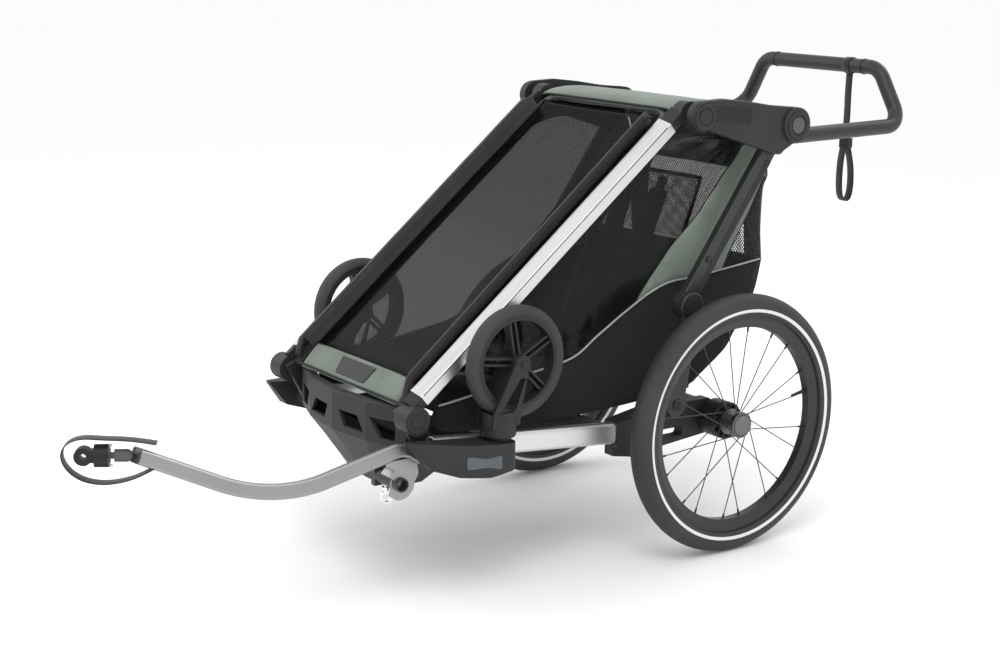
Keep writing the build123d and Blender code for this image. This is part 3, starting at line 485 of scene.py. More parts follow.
def patch(name, edges, lift, material, spacing):
    """Cloth cut to an outline: edges are lines of (y, z) in mm, end to end, and lift gives each
    point of it its place in the frame."""
    outline = []
    for edge in edges:
        line = resample([Vector(p) for p in edge], spacing)
        outline.extend(line[:-1])
    points = list(outline)
    loop = [(index, (index + 1) % len(outline)) for index in range(len(outline))]
    low_y, high_y = min(p.x for p in outline), max(p.x for p in outline)
    low_z, high_z = min(p.y for p in outline), max(p.y for p in outline)
    rows = int((high_z - low_z) / (spacing * ROW_SHARE)) + 1
    columns = int((high_y - low_y) / spacing) + 1
    for row in range(rows):
        for column in range(columns):
            y = low_y + (column + 0.5 * (row % 2)) * spacing
            place = Vector((y, low_z + (row + 0.5) * spacing * ROW_SHARE))
            if min((place - p).length for p in outline) > EDGE_SHARE * spacing:
                points.append(place)
    found = geometry.delaunay_2d_cdt(points, loop, [list(range(len(outline)))], 1, 1e-5)
    verts = [lift(p.x, p.y) for p in found[0]]
    piece = new_object(name, verts, [tuple(face) for face in found[2]], material)
    apply_modifier(piece, "SOLIDIFY", thickness=CLOTH_THICKNESS / 1000, offset=0)
    return piece


def curve_mesh(name, points, kind, radius=0.0, **settings):
    """The mesh of a spline of a kind through points: a round cord if it has a radius, or a line."""
    curve = bpy.data.curves.new(name, "CURVE")
    curve.dimensions = "3D"
    curve.bevel_depth = radius
    curve.bevel_resolution = 3
    curve.use_fill_caps = True
    spline = curve.splines.new(kind)
    spline.points.add(len(points) - 1)
    for place, point in zip(spline.points, points):
        place.co = (*point, 1)
    for key, value in settings.items():
        setattr(spline, key, value)
    holder = placed("route", curve)
    mesh = evaluated_mesh(holder)
    bpy.data.objects.remove(holder)
    return mesh


def tube_along(name, points, radius, material, cyclic=False):
    """A thin round cord of cloth or metal along a smooth line, as a mesh."""
    mesh = curve_mesh(name, points, "POLY", radius, use_cyclic_u=cyclic)
    mesh.materials.clear()
    mesh.materials.append(material)
    mesh.shade_smooth()
    return placed(name, mesh)


def mirrored(piece, name):
    """A copy of a piece on the trailer's other side."""
    copy = placed(name, piece.data.copy())
    copy.data.transform(Matrix.Scale(-1, 4, (1, 0, 0)))
    copy.data.flip_normals()
    return copy


def ring_faces(rings, count):
    """Faces between rings of points and over the first and last ring."""
    faces = []
    for row in range(rings - 1):
        for k in range(count):
            a, b = row * count + k, row * count + (k + 1) % count
            faces.append((a, b, b + count, a + count))
    last = (rings - 1) * count
    return faces + [tuple(reversed(range(count))), tuple(range(last, last + count))]


ACROSS = (1, 0, 0)
STRAP_SECTION = [
    (-0.5, 0.2), (-0.44, 0.5), (0.44, 0.5), (0.5, 0.2), (0.5, -0.2), (0.44, -0.5), (-0.44, -0.5),
    (-0.5, -0.2),
]


def ribbon(name, line, across, width, thickness, material):
    """A flat strap along a line, its width along a fixed direction; its edges are rounded."""
    across = Vector(across).normalized()
    verts = []
    for index, place in enumerate(line):
        before, after = line[max(index - 1, 0)], line[min(index + 1, len(line) - 1)]
        normal = across.cross((after - before).normalized())
        for side, height in STRAP_SECTION:
            verts.append(place + across * side * width + normal * height * thickness)
    return new_object(name, verts, ring_faces(len(line), len(STRAP_SECTION)), material)


def nurbs_line(points):
    """The smooth line whose control points are a cord's route, read from its NURBS spline."""
    mesh = curve_mesh("route", points, "NURBS", order_u=3, use_endpoint_u=True, resolution_u=8)
    line = [vertex.co.copy() for vertex in mesh.vertices]
    bpy.data.meshes.remove(mesh)
    return line


def sheet_grid(name, rows, material, thickness=CLOTH_THICKNESS):
    """Cloth through rows of points of equal length."""
    width = len(rows[0])
    verts = [point for row in rows for point in row]
    faces = [
        (r * width + c, r * width + c + 1, (r + 1) * width + c + 1, (r + 1) * width + c)
        for r in range(len(rows) - 1) for c in range(width - 1)
    ]
    piece = new_object(name, verts, faces, material)
    apply_modifier(piece, "SOLIDIFY", thickness=thickness / 1000, offset=0)
    return piece


PAD_CROWN, PAD_PINCH = 0.006, 0.03
PAD_DEPTH = 4


def loft_box(name, corners, divisions, material):
    """A crowned closed form between eight corners, given as two rings of four."""
    front, back = corners
    across, upward = divisions
    depth = PAD_DEPTH
    verts, faces, index = [], [], {}

    def corner_mix(ring, u, v):
        low = ring[0].lerp(ring[1], u)
        high = ring[3].lerp(ring[2], u)
        return low.lerp(high, v)

    def add_face(places, flip):
        quad = [index[place] for place in places]
        faces.append(tuple(reversed(quad)) if flip else tuple(quad))

    for k in range(depth + 1):
        for j in range(upward + 1):
            for i in range(across + 1):
                edge = i in (0, across) or j in (0, upward) or k in (0, depth)
                if not edge:
                    continue
                u, v, w = i / across, j / upward, k / depth
                base = corner_mix(front, u, v).lerp(corner_mix(back, u, v), w)
                middle = corner_mix(front, 0.5, 0.5).lerp(corner_mix(back, 0.5, 0.5), 0.5)
                out = corner_mix(front, u, v) - corner_mix(back, u, v)
                dome = (1 - (2 * u - 1) ** 4) * (1 - (2 * v - 1) ** 4)
                swell = out.normalized() * PAD_CROWN * dome * (1 - 2 * w)
                inward = (middle - base) * PAD_PINCH * (1 - dome) * (1 - (2 * w - 1) ** 2)
                index[(i, j, k)] = len(verts)
                verts.append(base + swell + inward)
    for k, flip in ((0, False), (depth, True)):
        for j in range(upward):
            for i in range(across):
                add_face([(i, j, k), (i + 1, j, k), (i + 1, j + 1, k), (i, j + 1, k)], flip)
    for k in range(depth):
        for i in range(across):
            for j, flip in ((0, True), (upward, False)):
                add_face([(i, j, k), (i + 1, j, k), (i + 1, j, k + 1), (i, j, k + 1)], flip)
        for j in range(upward):
            for i, flip in ((0, False), (across, True)):
                add_face([(i, j, k), (i, j + 1, k), (i, j + 1, k + 1), (i, j, k + 1)], flip)
    piece = new_object(name, verts, faces, material)
    face_outward(piece)
    return piece


PAD_VOXEL, PAD_PRESSURE, PAD_FRAMES = 0.006, 4.0, 20
PAD_CAP = 0.008


def inflate(piece):
    """Swell a pad as stuffed cloth does, with no point moving further than the cap."""
    apply_modifier(piece, "REMESH", mode="VOXEL", voxel_size=PAD_VOXEL, use_smooth_shade=True)
    rest = [vertex.co.copy() for vertex in piece.data.vertices]
    cloth = piece.modifiers.new("cloth", "CLOTH")
    cloth.settings.use_pressure = True
    cloth.settings.uniform_pressure_force = PAD_PRESSURE
    cloth.settings.effector_weights.gravity = 0
    cloth.settings.quality = 4
    scene = bpy.context.scene
    for step in range(1, PAD_FRAMES + 1):
        scene.frame_set(step)
    result = evaluated_mesh(piece)
    for vertex, start in zip(result.vertices, rest):
        moved = vertex.co - start
        if moved.length > PAD_CAP:
            vertex.co = start + moved.normalized() * PAD_CAP
    replace_mesh(piece, result)
    scene.frame_set(1)
    apply_modifier(piece, "SUBSURF", levels=1, render_levels=1)
    piece.data.shade_smooth()


def line_length(points):
    """Length of a line through points."""
    line = [Vector(p) for p in points]
    return sum((b - a).length for a, b in zip(line, line[1:]))


def cut_size(points, turn=0.0):
    """Width, length and area in metres of a cloth cut to an outline in millimetres."""
    c, s = math.cos(math.radians(turn)), math.sin(math.radians(turn))
    turned = [(x * c + y * s, y * c - x * s) for x, y in points]
    width = max(p[0] for p in turned) - min(p[0] for p in turned)
    length = max(p[1] for p in turned) - min(p[1] for p in turned)
    doubled = sum(a[0] * b[1] - b[0] * a[1] for a, b in zip(points, points[1:] + points[:1]))
    return (width / 1000, length / 1000), abs(doubled) / 2e6


def crumples(piece):
    """The piece is cloth of the cabin: it moves with the base, on a mesh of its own."""
    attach(piece, "base")
    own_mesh(piece)


def rides(body, piece):
    """The piece moves with a body."""
    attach(piece, body)


# ------ camera and cords

make_camera()
make_studio()

WEBBING = ribbed("black_webbing", (0.012, 0.012, 0.0125))

STRAP_X = 85
WRIST_WIDTH, WRIST_THICKNESS, WRIST_LENGTH = 0.018, 0.002, 0.4065
WRIST_ROUTE = [
    (493, 877.6), (491, 840), (492.5, 790), (489.5, 740), (480, 700), (478, 662), (479.5, 636),
    (483, 621), (490, 611), (500, 609), (508, 616), (512, 630), (513.5, 656), (509, 694), (496, 730),
]
wrist_line = nurbs_line([at(STRAP_X, y, z) for y, z in WRIST_ROUTE])
wrist_strap = ribbon("wrist_webbing", wrist_line, ACROSS, WRIST_WIDTH, WRIST_THICKNESS, WEBBING)
rides("handlebar", wrist_strap)
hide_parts("wrist_strap")

HITCH_FRONT = at(90, -1119, 320)
HITCH_BEND = at(205, -930, 237)
coupler_dir = HITCH_FRONT - HITCH_BEND
coupler_dir = Vector((coupler_dir.x, coupler_dir.y, 0)).normalized()
coupler_side = coupler_dir.cross(Vector((0, 0, 1)))
SAFETY_WIDTH, SAFETY_THICKNESS, SAFETY_LENGTH = 0.025, 0.002, 0.3456
SAFETY_ROUTE = [
    (30, -20.5), (8, -33), (-22, -43), (-56, -47), (-88, -40), (-111, -22), (-121, 2),
    (-111, 23), (-86, 32), (-52, 29), (-20, 28), (8, 25), (34, 20.2),
]
safety_line = nurbs_line([
    HITCH_FRONT - coupler_dir * reach / 1000 + Vector((0, 0, height / 1000))
    for reach, height in SAFETY_ROUTE
])
safety_strap = ribbon(
    "safety_webbing", safety_line, coupler_side, SAFETY_WIDTH, SAFETY_THICKNESS, WEBBING,
)
rides("base", safety_strap)
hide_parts("safety_strap")

tuple(wrist_line[0])
[tuple(p) for p in wrist_line]
tuple(safety_line[0])
[tuple(p) for p in safety_line]

# ------ materials of the CAD nodes

BLACK = woven("black_cloth", BLACK_CLOTH)
GREEN = woven("green_cloth", GREEN_CLOTH, 0.9, 0.2)
EDGE = woven("edge_cloth", (0.036, 0.038, 0.037), 0.8)
SEAT = woven("seat_cloth", (0.018, 0.019, 0.020), 0.88, 0.35, 500)
PIPING = rubber("grey_piping", (0.30, 0.31, 0.31), 0.5)
DARK_PIPING = rubber("black_piping", (0.012, 0.012, 0.012), 0.6)
MOULDED = moulded("charcoal_moulding", CHARCOAL, 0.52)
FITTING = moulded("arm_moulding", CHARCOAL, 0.46)
PATCH = moulded("blank_patch", (0.012, 0.012, 0.013), 0.4, 900)
REFLECTOR = moulded("reflector", (0.085, 0.095, 0.105), 0.22, 300)
BRIGHT = alloy("bright_steel", (0.78, 0.78, 0.79), 0.16, (1, 1, 1))
FILM = tinted_film()
SIDE_FILM = side_film()
NET = net("black_net", (0.020, 0.020, 0.020), 0.0078, 0.26)
SEAT_NET = net("seat_net", (0.020, 0.020, 0.020), 0.0085, 0.30)

HUB_GREY = alloy("hub_grey", (0.16, 0.16, 0.165), 0.34, (18, 1, 1))

slot_material = {
    "tyre": tyre_rubber(),
    "caster_rubber": rubber("caster_rubber", (0.036, 0.037, 0.038), 0.66),
    "rim": painted("rim_black", (0.020, 0.020, 0.021), 0.42),
    "spokes": painted("spoke_black", (0.022, 0.022, 0.023), 0.34),
    "hub": HUB_GREY,
    "hub_button": moulded("button_grey", (0.13, 0.13, 0.135), 0.4),
    "brake_ring": moulded("brake_ring", (0.020, 0.020, 0.021), 0.5),
    "axle": painted("axle_black", (0.017, 0.017, 0.018), 0.45),
    "brake_bolt": alloy("bolt_steel", (0.5, 0.5, 0.5), 0.3, (18, 1, 1)),
    "brake_pedal": moulded("pedal_black", (0.022, 0.022, 0.023), 0.55),
    "extrusion": alloy("anodised_extrusion", (0.70, 0.705, 0.71), 0.36, (1, 0.06, 0.06)),
    "hitch_alloy": alloy("anodised_hitch", (0.33, 0.335, 0.34), 0.4, (0.3, 0.08, 0.2)),
    "bracket": painted("bracket_black", (0.018, 0.018, 0.019), 0.45),
    "moulding": MOULDED,
    "fittings": FITTING,
    "struts": painted("strut_charcoal", (0.024, 0.025, 0.026), 0.44),
    "roof_tube": painted("tube_grey", (0.070, 0.072, 0.074), 0.34),
    "handlebar": painted("handlebar_black", (0.020, 0.021, 0.022), 0.5),
    "handlebar_button": moulded("handle_button", (0.085, 0.086, 0.088), 0.36),
    "keeper": moulded("keeper_black", (0.013, 0.013, 0.014), 0.45),
    "caster": moulded("caster_charcoal", (0.020, 0.021, 0.022), 0.5),
    "bright_pin": BRIGHT,
    "elastomer": rubber("elastomer", (0.075, 0.076, 0.078), 0.55),
    "coupler": moulded("coupler_black", (0.014, 0.014, 0.015), 0.48),
    "buckle": moulded("buckle_black", (0.015, 0.015, 0.016), 0.45),
    "buckle_button": moulded("buckle_red", (0.36, 0.03, 0.022), 0.35),
}
for part in frame["record"]["subparts"]:
    chosen = slot_material.get(part["material_slot"], BLACK)
    cad_mesh = frame["nodes"][part["node"]].data
    cad_mesh.materials.clear()
    cad_mesh.materials.append(chosen)

# ------ front cover

# lengths along the cover are measured up its slope from its foot, at the bumper's rail
COVER_FOOT = (-672.0, 350.0)
COVER_RUN = Vector((589.0, 488.0)).normalized()
FILM_X = 176.0
RIM_X = 179.0
RIM_RAISED = 35.0
PILLAR_EDGE_X = 200.4
PILLAR_EDGE_RAISED = 30.6
BAND_X = 168
BAND_FOOT, BAND_TOP = 3, 57.0
FILM_TOP = 742.0
EDGE_TOP = 722
COVER_MIDDLE = 400
NOSE_BEND, NOSE_RISE = 42, 9


def cover(x, along, raised):
    """A place on the front cover: along is measured up its slope and raised is proud of it."""
    y = COVER_FOOT[0] + COVER_RUN.x * along - COVER_RUN.y * raised
    z = COVER_FOOT[1] + COVER_RUN.y * along + COVER_RUN.x * raised
    return at(x, y, z)


def cover_height(along):
    """How far the film stands proud of the cover's plane: it rounds over the bumper's rail."""
    return NOSE_RISE * min(1.0, along / NOSE_BEND) ** 0.5 - 3 * max(0.0, (along - 500) / 250)


def rim_height(along):
    """Height of the cover's raised side edges, which lie on the pillars' inner edges."""
    ramp = min(1.0, max(0.0, (along - 8) / 40))
    return cover_height(along) + (RIM_RAISED - cover_height(along)) * ramp


def cover_strip(name, section, from_along, to_along, material, sign=1, step=14):
    """A strip of the cover: section gives its (x, raised) points across at a place along it."""
    rows = []
    count = max(3, round((to_along - from_along) / step))
    for row in range(count + 1):
        along = from_along + (to_along - from_along) * row / count
        rows.append([
            cover(sign * x, along, raised + 0.6 * noise.noise(Vector((sign * x / 90, along / 60, 3.1))))
            for x, raised in section(along)
        ])
    return sheet_grid(name, rows, material)


def across(from_x, to_x, bulge, count=24):
    """A section that lies on the cover from one width to another, crowned by bulge."""
    def section(along):
        made = []
        for column in range(count + 1):
            share = column / count
            crown = bulge * (1 - (2 * share - 1) ** 2)
            made.append((from_x + (to_x - from_x) * share, cover_height(along) + crown))
        return made
    return section


def flank(along):
    """Section of the cover's side: up from the film's edge to the raised rim."""
    low, high = cover_height(along) - 1, rim_height(along)
    return [
        (FILM_X - 4, low), (FILM_X - 1.5, low + 1.0), (FILM_X - 0.5, low + 3.0),
        (FILM_X + 1, low + 0.6 * (high - low)), (RIM_X - 1, high - 1.0), (RIM_X, high),
    ]


def rim(along):
    """Section of the cover's raised rim, which slopes down to the pillar."""
    high, low = rim_height(along), min(rim_height(along), PILLAR_EDGE_RAISED)
    return [
        (RIM_X - 0.4, high), (RIM_X + 5, high - 0.1 * (high - low) + 0.5),
        (RIM_X + 13, high - 0.55 * (high - low) + 0.6), (PILLAR_EDGE_X, low),
    ]


def lining(along):
    """Section of the lining behind the pillar, from the film's edge to the side window."""
    return [(FILM_X - 3, cover_height(along) - 2), (188, -12), (195.5, -27)]


def cover_sheet(piece, width):
    """A cloth of the front cover, which moves with the pillars."""
    rides("pillars", piece)


def seam(name, points, radius, cyclic=False):
    """A dark cord sewn along a line."""
    return tube_along(name, points, radius, DARK_PIPING, cyclic)


window = cover_strip("front_window", across(-FILM_X, FILM_X, -2.5), BAND_TOP - 2, FILM_TOP, FILM)
cover_sheet(window, 2 * FILM_X)
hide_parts("front_cover")
band = cover_strip("front_band", across(-BAND_X, BAND_X, 3), BAND_FOOT, BAND_TOP, GREEN, step=8)
cover_sheet(band, 2 * BAND_X)
for side, sign in SIDES:
    for name, section, foot, top, material in (
        ("window_edge", flank, BAND_TOP - 10, EDGE_TOP, EDGE),
        ("cover_border", rim, 16, 714, BLACK),
        ("pillar_lining", lining, 30, 738, BLACK),
    ):
        strip = cover_strip(f"{name}_{side}", section, foot, top, material, sign)
        cover_sheet(strip, line_length(section(COVER_MIDDLE)))
    corner = cover_strip(
        f"cover_corner_{side}", across(166, 200, 2.5, 6), BAND_FOOT, BAND_TOP, BLACK, sign, 8,
    )
    cover_sheet(corner, 34)
    window_line = [
        cover(sign * (FILM_X - 4), along, cover_height(along) + 0.2)
        for along in range(58, EDGE_TOP, 17)
    ]
    rides("pillars", seam(f"window_seam_{side}", window_line, 0.0017))
band_line = [cover(x, BAND_TOP, cover_height(BAND_TOP) + 0.8) for x in range(-170, 171, 10)]
rides("pillars", seam("band_seam", band_line, 0.0014))
HEM_ALONG = 7
hem_line = [cover(x, HEM_ALONG, cover_height(HEM_ALONG) + 2.0) for x in range(-196, 197, 14)]
rides("pillars", seam("cover_hem", hem_line, 0.0028))

# the blank patch sewn on the green band, a trapezoid with a raised rim
PATCH_OUTLINE = [(-62, 50), (56, 50), (50, 15), (-50, 15)]


def rounded_outline(points, radius, steps=5):
    """An outline with its corners rounded."""
    made = []
    count = len(points)
    for index in range(count):
        corner = Vector(points[index])
        before = (Vector(points[index - 1]) - corner).normalized()
        after = (Vector(points[(index + 1) % count]) - corner).normalized()
        start, end = corner + before * radius, corner + after * radius
        for step in range(steps + 1):
            t = step / steps
            made.append(start * (1 - t) ** 2 + corner * 2 * t * (1 - t) + end * t * t)
    return made


PLATE_RINGS = [(1.0, 0.0), (1.0, 0.7), (0.975, 1.0), (0.6, 1.0)]
PLATE_RIM = 0.93


def plate(name, outline, lift, thickness, material, body, rim_radius=0.0, rim_material=None):
    """A thin plate over an outline that moves with a body, its edge bevelled, with a raised rim
    if one is given."""
    centre = sum(outline, Vector((0, 0))) / len(outline)
    verts = []
    for factor, height in PLATE_RINGS:
        for p in outline:
            q = centre + (p - centre) * factor
            verts.append(lift(q.x, q.y, height * thickness))
    faces = ring_faces(len(PLATE_RINGS), len(outline))
    piece = new_object(name, verts, faces, material, smooth=False)
    face_outward(piece)
    rides(body, piece)
    if rim_material:
        points = [lift(*(centre + (p - centre) * PLATE_RIM), thickness) for p in outline]
        rides(body, tube_along(name + "_rim", points, rim_radius, rim_material, cyclic=True))


def lift_patch(x, along, height):
    """A place on the green band, which is crowned."""
    return cover(x, along, cover_height(along) + 3.2 * (1 - (x / 166) ** 2) + 0.6 + height)


plate(
    "front_patch", rounded_outline(PATCH_OUTLINE, 5), lift_patch, 1.6, PATCH, "pillars", 0.00055,
    moulded("patch_rim", (0.075, 0.076, 0.078), 0.4),
)

# ------ roof canopy

ROOF_PROFILE = smooth_line([
    (-93, 839), (-86, 845), (-66, 849), (-20, 851), (62, 840), (112, 812), (129, 796),
], 5)
ROOF_HALF = 199.0
ROOF_COLUMNS = 32
ROOF_CROWN = 3.0


def roof_crown(y):
    """How far the roof rises over its sides, in the middle."""
    rise = min(1.0, max(0.0, (y + 93) / 26)) ** 0.6
    fall = 1 - 0.72 * max(0.0, (y + 60) / 190)
    return ROOF_CROWN * rise * fall


roof_rows = []
for place in ROOF_PROFILE:
    row = []
    for column in range(ROOF_COLUMNS + 1):
        x = -ROOF_HALF + 2 * ROOF_HALF * column / ROOF_COLUMNS
        share = abs(x) / ROOF_HALF
        slack = 0.8 * noise.noise(Vector((x / 70, place.x / 40, 8.0)))
        drop = 5.0 * max(0.0, (share - 0.9) / 0.1) ** 2
        row.append(at(x, place.x, place.y + roof_crown(place.x) * (1 - share ** 2.4) + slack - drop))
    roof_rows.append(row)
canopy = sheet_grid("canopy", roof_rows, GREEN, 1.6)
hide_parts("roof_canopy")
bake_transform(canopy)
rides("pillars", seam("canopy_hem", roof_rows[0], 0.0022))

# ------ side panels

# lines of the side panels, as (y, z) seen from the side
SIDE_X = 196.0
SEAM = [
    (-604, 350), (-538, 358), (-420, 379), (-312, 397), (-248, 435), (-162, 483), (-112, 506),
    (-73, 515), (-20, 518), (52, 525), (152, 536),
]
BAG_EDGE = [(152, 536), (133, 469), (86, 398), (63, 367), (10, 330), (-43, 301)]
LOWER_EDGE = BAG_EDGE + [(-250, 287), (-420, 290), (-590, 301), (-618, 332), (-604, 350)]
FILM_REAR = [(-162, 483), (-148, 504), (-89, 573), (-15, 638), (52, 716), (92, 762)]
FILM_LID = [(92, 762), (56, 781), (3, 788), (-66, 787), (-124, 771)]
PILLAR_EDGE = [(-124, 771), (-300, 628), (-450, 507), (-604, 382), (-614, 360), (-604, 350)]
BAND_REAR = [(52, 525), (75, 569), (116, 632), (153, 695), (156, 706), (128, 786)]


def side_surface(ripple, scale, seed, out=0.0):
    """The side cloth's surface: slow ripples all over a flat plane beside the frames."""
    def lift(y, z):
        wave = noise.noise(Vector((y / scale, z / scale * 0.7, seed))) + 0.5 * noise.noise(
            Vector(((y + z) / scale * 2.1, (z - y) / scale * 0.9, seed + 5))
        )
        return at(SIDE_X + out + ripple * wave, y, z)
    return lift


def film_surface(y, z):
    """The side window's film: drawn into folds that fan out from its upper rear corner."""
    reach = math.hypot(y - 110, z - 800)
    angle = math.atan2(800 - z, 110 - y)
    fan = math.sin(angle * 26 + 2.5 * noise.noise(Vector((y / 60, z / 60, 1.0))))
    near = math.exp(-((reach - 120) / 110) ** 2)
    slow = noise.noise(Vector((y / 85, z / 85, 4.0)))
    low = math.exp(-((z - 440) / 70) ** 2) * noise.noise(Vector((y / 22, z / 60, 9.0)))
    return at(SIDE_X - 1 + 1.6 * fan * near + 2.2 * slow + 2.6 * low, y, z)


SEAM_LINE = smooth_line(SEAM)
film_seam = [p for p in SEAM_LINE if p.x <= -162]
band_seam_line = [p for p in SEAM_LINE if -162 <= p.x <= 52]
net_seam_line = [p for p in SEAM_LINE if p.x >= 52]


# the least area a sheet may have beside the rectangle around it
LEAST_SHARE = 0.301


def both_sides(name, edges, surface, material, turn=0.0, spacing=12.0):
    """One cloth of the side panel on each side, cut to edges that follow one another. turn lays
    its outline along the rectangle around it, in degrees. Gives the left one."""
    (width, length), area = cut_size([tuple(p) for edge in edges for p in edge[:-1]], turn)
    area = min(max(area, LEAST_SHARE * width * length), width * length)
    left = patch(f"{name}_left", edges, surface, material, spacing)
    for piece in (left, mirrored(left, f"{name}_right")):
        crumples(piece)
    return left


lower_cloth = both_sides(
    "lower_cloth", [SEAM_LINE, smooth_line(LOWER_EDGE, 4)], side_surface(2.0, 120, 2.0, 0.6), BLACK,
    turn=15,
)
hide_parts("side_panels")
both_sides(
    "side_window",
    [film_seam, smooth_line(FILM_REAR), smooth_line(FILM_LID), smooth_line(PILLAR_EDGE, 3)],
    film_surface, SIDE_FILM, turn=38, spacing=8.0,
)
both_sides(
    "green_side",
    [band_seam_line, smooth_line(BAND_REAR), [(128, 786), (92, 762)], smooth_line(FILM_REAR)[::-1]],
    side_surface(1.2, 90, 6.0, 0.2), GREEN, turn=42,
)
both_sides(
    "side_net",
    [net_seam_line, smooth_line([(152, 536), (146, 600), (145, 673), (157, 704)]),
     smooth_line([(52, 525), (75, 569), (116, 632), (153, 695), (157, 704)])[::-1]],
    side_surface(1.0, 90, 7.0), NET, turn=20,
)
both_sides(
    "roof_side",
    [smooth_line(FILM_LID[::-1]), [(92, 762), (128, 786), (122, 800)],
     smooth_line([(122, 800), (66, 833), (-20, 845), (-60, 842), (-92, 806), (-124, 771)])],
    side_surface(0.8, 90, 8.0, 1.0), BLACK,
)
for name, points, radius, material in (
    ("seam_piping", SEAM, 0.0020, PIPING),
    ("window_piping", FILM_REAR, 0.0012, DARK_PIPING),
    ("net_piping", [(52, 527), (75, 570), (116, 633), (152, 696)], 0.0014, DARK_PIPING),
    ("bag_piping", BAG_EDGE, 0.0018, DARK_PIPING),
):
    surface = film_surface if name == "window_piping" else side_surface(1.6, 120, 2.0, 1.2)
    left = tube_along(f"{name}_left", [surface(*p) for p in smooth_line(points)], radius, material)
    for piece in (left, mirrored(left, f"{name}_right")):
        crumples(piece)

# ------ rear panel, bag and floor

REAR_PROFILE = smooth_line([(129, 796), (146, 748), (160, 703), (149, 673), (147, 600), (152, 536)])
REAR_X, NET_X, TRIM_X = 197, 150, 148


def rear_rows(profile, from_x, to_x, columns, out, seed=1.0, bow=6.0):
    """Rows of points across the back along a (y, z) profile, bowed out behind."""
    rows = []
    for place in profile:
        row = []
        for column in range(columns + 1):
            x = from_x + (to_x - from_x) * column / columns
            slack = 1.5 * noise.noise(Vector((x / 60, place.y / 60, seed)))
            curve = bow * (1 - (x / REAR_X) ** 2) + slack
            row.append(at(x, place.x + out + curve, place.y))
        rows.append(row)
    return rows


def rear_sheet(name, profile, from_x, to_x, columns, out, material):
    """A cloth of the back between its left and right edges."""
    cloth = sheet_grid(name, rear_rows(profile, from_x, to_x, columns, out), material)
    crumples(cloth)
    line_length(profile) / 1000
    return cloth


NET_TOP = 704
net_profile = [p for p in REAR_PROFILE if p.y <= NET_TOP]
top_profile = [p for p in REAR_PROFILE if p.y >= net_profile[0].y]
rear_net = rear_sheet("rear_net", net_profile, -NET_X, NET_X, 20, 0, NET)
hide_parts("rear_panel")
rear_sheet("rear_top", top_profile, -NET_X, NET_X, 20, 0.4, GREEN)
for side, sign in SIDES:
    inner_x, outer_x = sign * TRIM_X, sign * REAR_X
    rear_sheet(
        f"rear_band_{side}", REAR_PROFILE, inner_x, outer_x, 5, 0.8, GREEN,
    )
    trim_line = [row[0] for row in rear_rows(REAR_PROFILE, inner_x, outer_x, 5, 1.4)]
    crumples(seam(f"rear_trim_{side}", trim_line, 0.0014))

BAG_PROFILE = smooth_line([
    (152, 536), (133, 469), (112, 432), (86, 398), (63, 367), (10, 330), (-43, 301),
], 5)
BAG_SEED, BAG_BOW = 5.0, 5.0
bag_rows = rear_rows(BAG_PROFILE, -REAR_X, REAR_X, 26, 0.5, BAG_SEED, BAG_BOW)
bag = sheet_grid("bag", bag_rows, BLACK, 1.8)
crumples(bag)
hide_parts("cargo_bag")
line_length(BAG_PROFILE) / 1000
bag_top = rear_rows(BAG_PROFILE[:1], -REAR_X, REAR_X, 26, 1.6, BAG_SEED, BAG_BOW)[0]
crumples(tube_along("bag_rim", bag_top, 0.0020, PIPING))
for side, sign in SIDES:
    x = sign * 110
    line = [at(x, p.x + 3.6 + BAG_BOW * (1 - (x / REAR_X) ** 2), p.y) for p in BAG_PROFILE]
    strap = ribbon(f"bag_strap_{side}", resample(line, 0.010), ACROSS, 0.025, 0.0018, WEBBING)
    crumples(strap)

FLOOR_HALF = 213
floor_rows = []
for row in range(9):
    share = row / 8
    y, z = -503 + 262 * share, 285.5 - 22 * share
    floor_rows.append([
        at(x, y, z - 5 * math.sin(math.pi * share) * (1 - (x / FLOOR_HALF) ** 2))
        for x in range(-FLOOR_HALF, FLOOR_HALF + 1, 18)
    ])
floor_cloth = sheet_grid("floor_cloth", floor_rows, BLACK, 2.0)
rides("base", floor_cloth)
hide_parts("cabin_floor")

# ------ seat and harness

def pad_face(low, high, half_low, half_high):
    """Four corners of a pad's face, its lower edge first, from (y, z) of its two edges."""
    return [at(-half_low, *low), at(half_low, *low), at(half_high, *high), at(-half_high, *high)]


seat_base = loft_box("seat_base", (
    pad_face((-338, 346), (-112, 330), 150, 156), pad_face((-338, 322), (-112, 300), 150, 156),
), (12, 10), SEAT)
seat_back = loft_box("seat_back", (
    pad_face((-98, 352), (-7, 590), 152, 144), pad_face((-66, 340), (20, 582), 152, 144),
), (12, 12), SEAT)
for pad in (seat_base, seat_back):
    inflate(pad)
    crumples(pad)
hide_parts("seat")
net_rows = []
for row in range(15):
    share = 0.66 + 0.33 * row / 14
    y, z = -98 + 134 * share, 352 + 348 * share
    net_rows.append([at(x, y + 4 - 3 * (1 - (x / 140) ** 2), z) for x in range(-140, 141, 14)])
seat_net = sheet_grid("seat_net", net_rows, SEAT_NET)
crumples(seat_net)
net_edge = [row[0] for row in net_rows] + net_rows[-1][1:] + [row[-1] for row in net_rows[-2::-1]]
crumples(seam("seat_net_piping", net_edge, 0.004))
for side, sign in SIDES:
    line = smooth_line([at(sign * x, y, z) for x, y, z in (
        (52, 22, 690), (50, 2, 640), (46, -34, 540), (38, -74, 440), (26, -120, 390), (12, -200, 368),
        (8, -224, 361),
    )])
    strap = ribbon(f"shoulder_strap_{side}", line, ACROSS, 0.026, 0.0022, WEBBING)
    crumples(strap)
    line = smooth_line([at(sign * 51, 12, 668), at(sign * 48, -14, 602), at(sign * 44, -44, 525)])
    shoulder = ribbon(f"shoulder_pad_{side}", line, ACROSS, 0.052, 0.012, SEAT)
    apply_modifier(shoulder, "SUBSURF", levels=1, render_levels=1)
    crumples(shoulder)
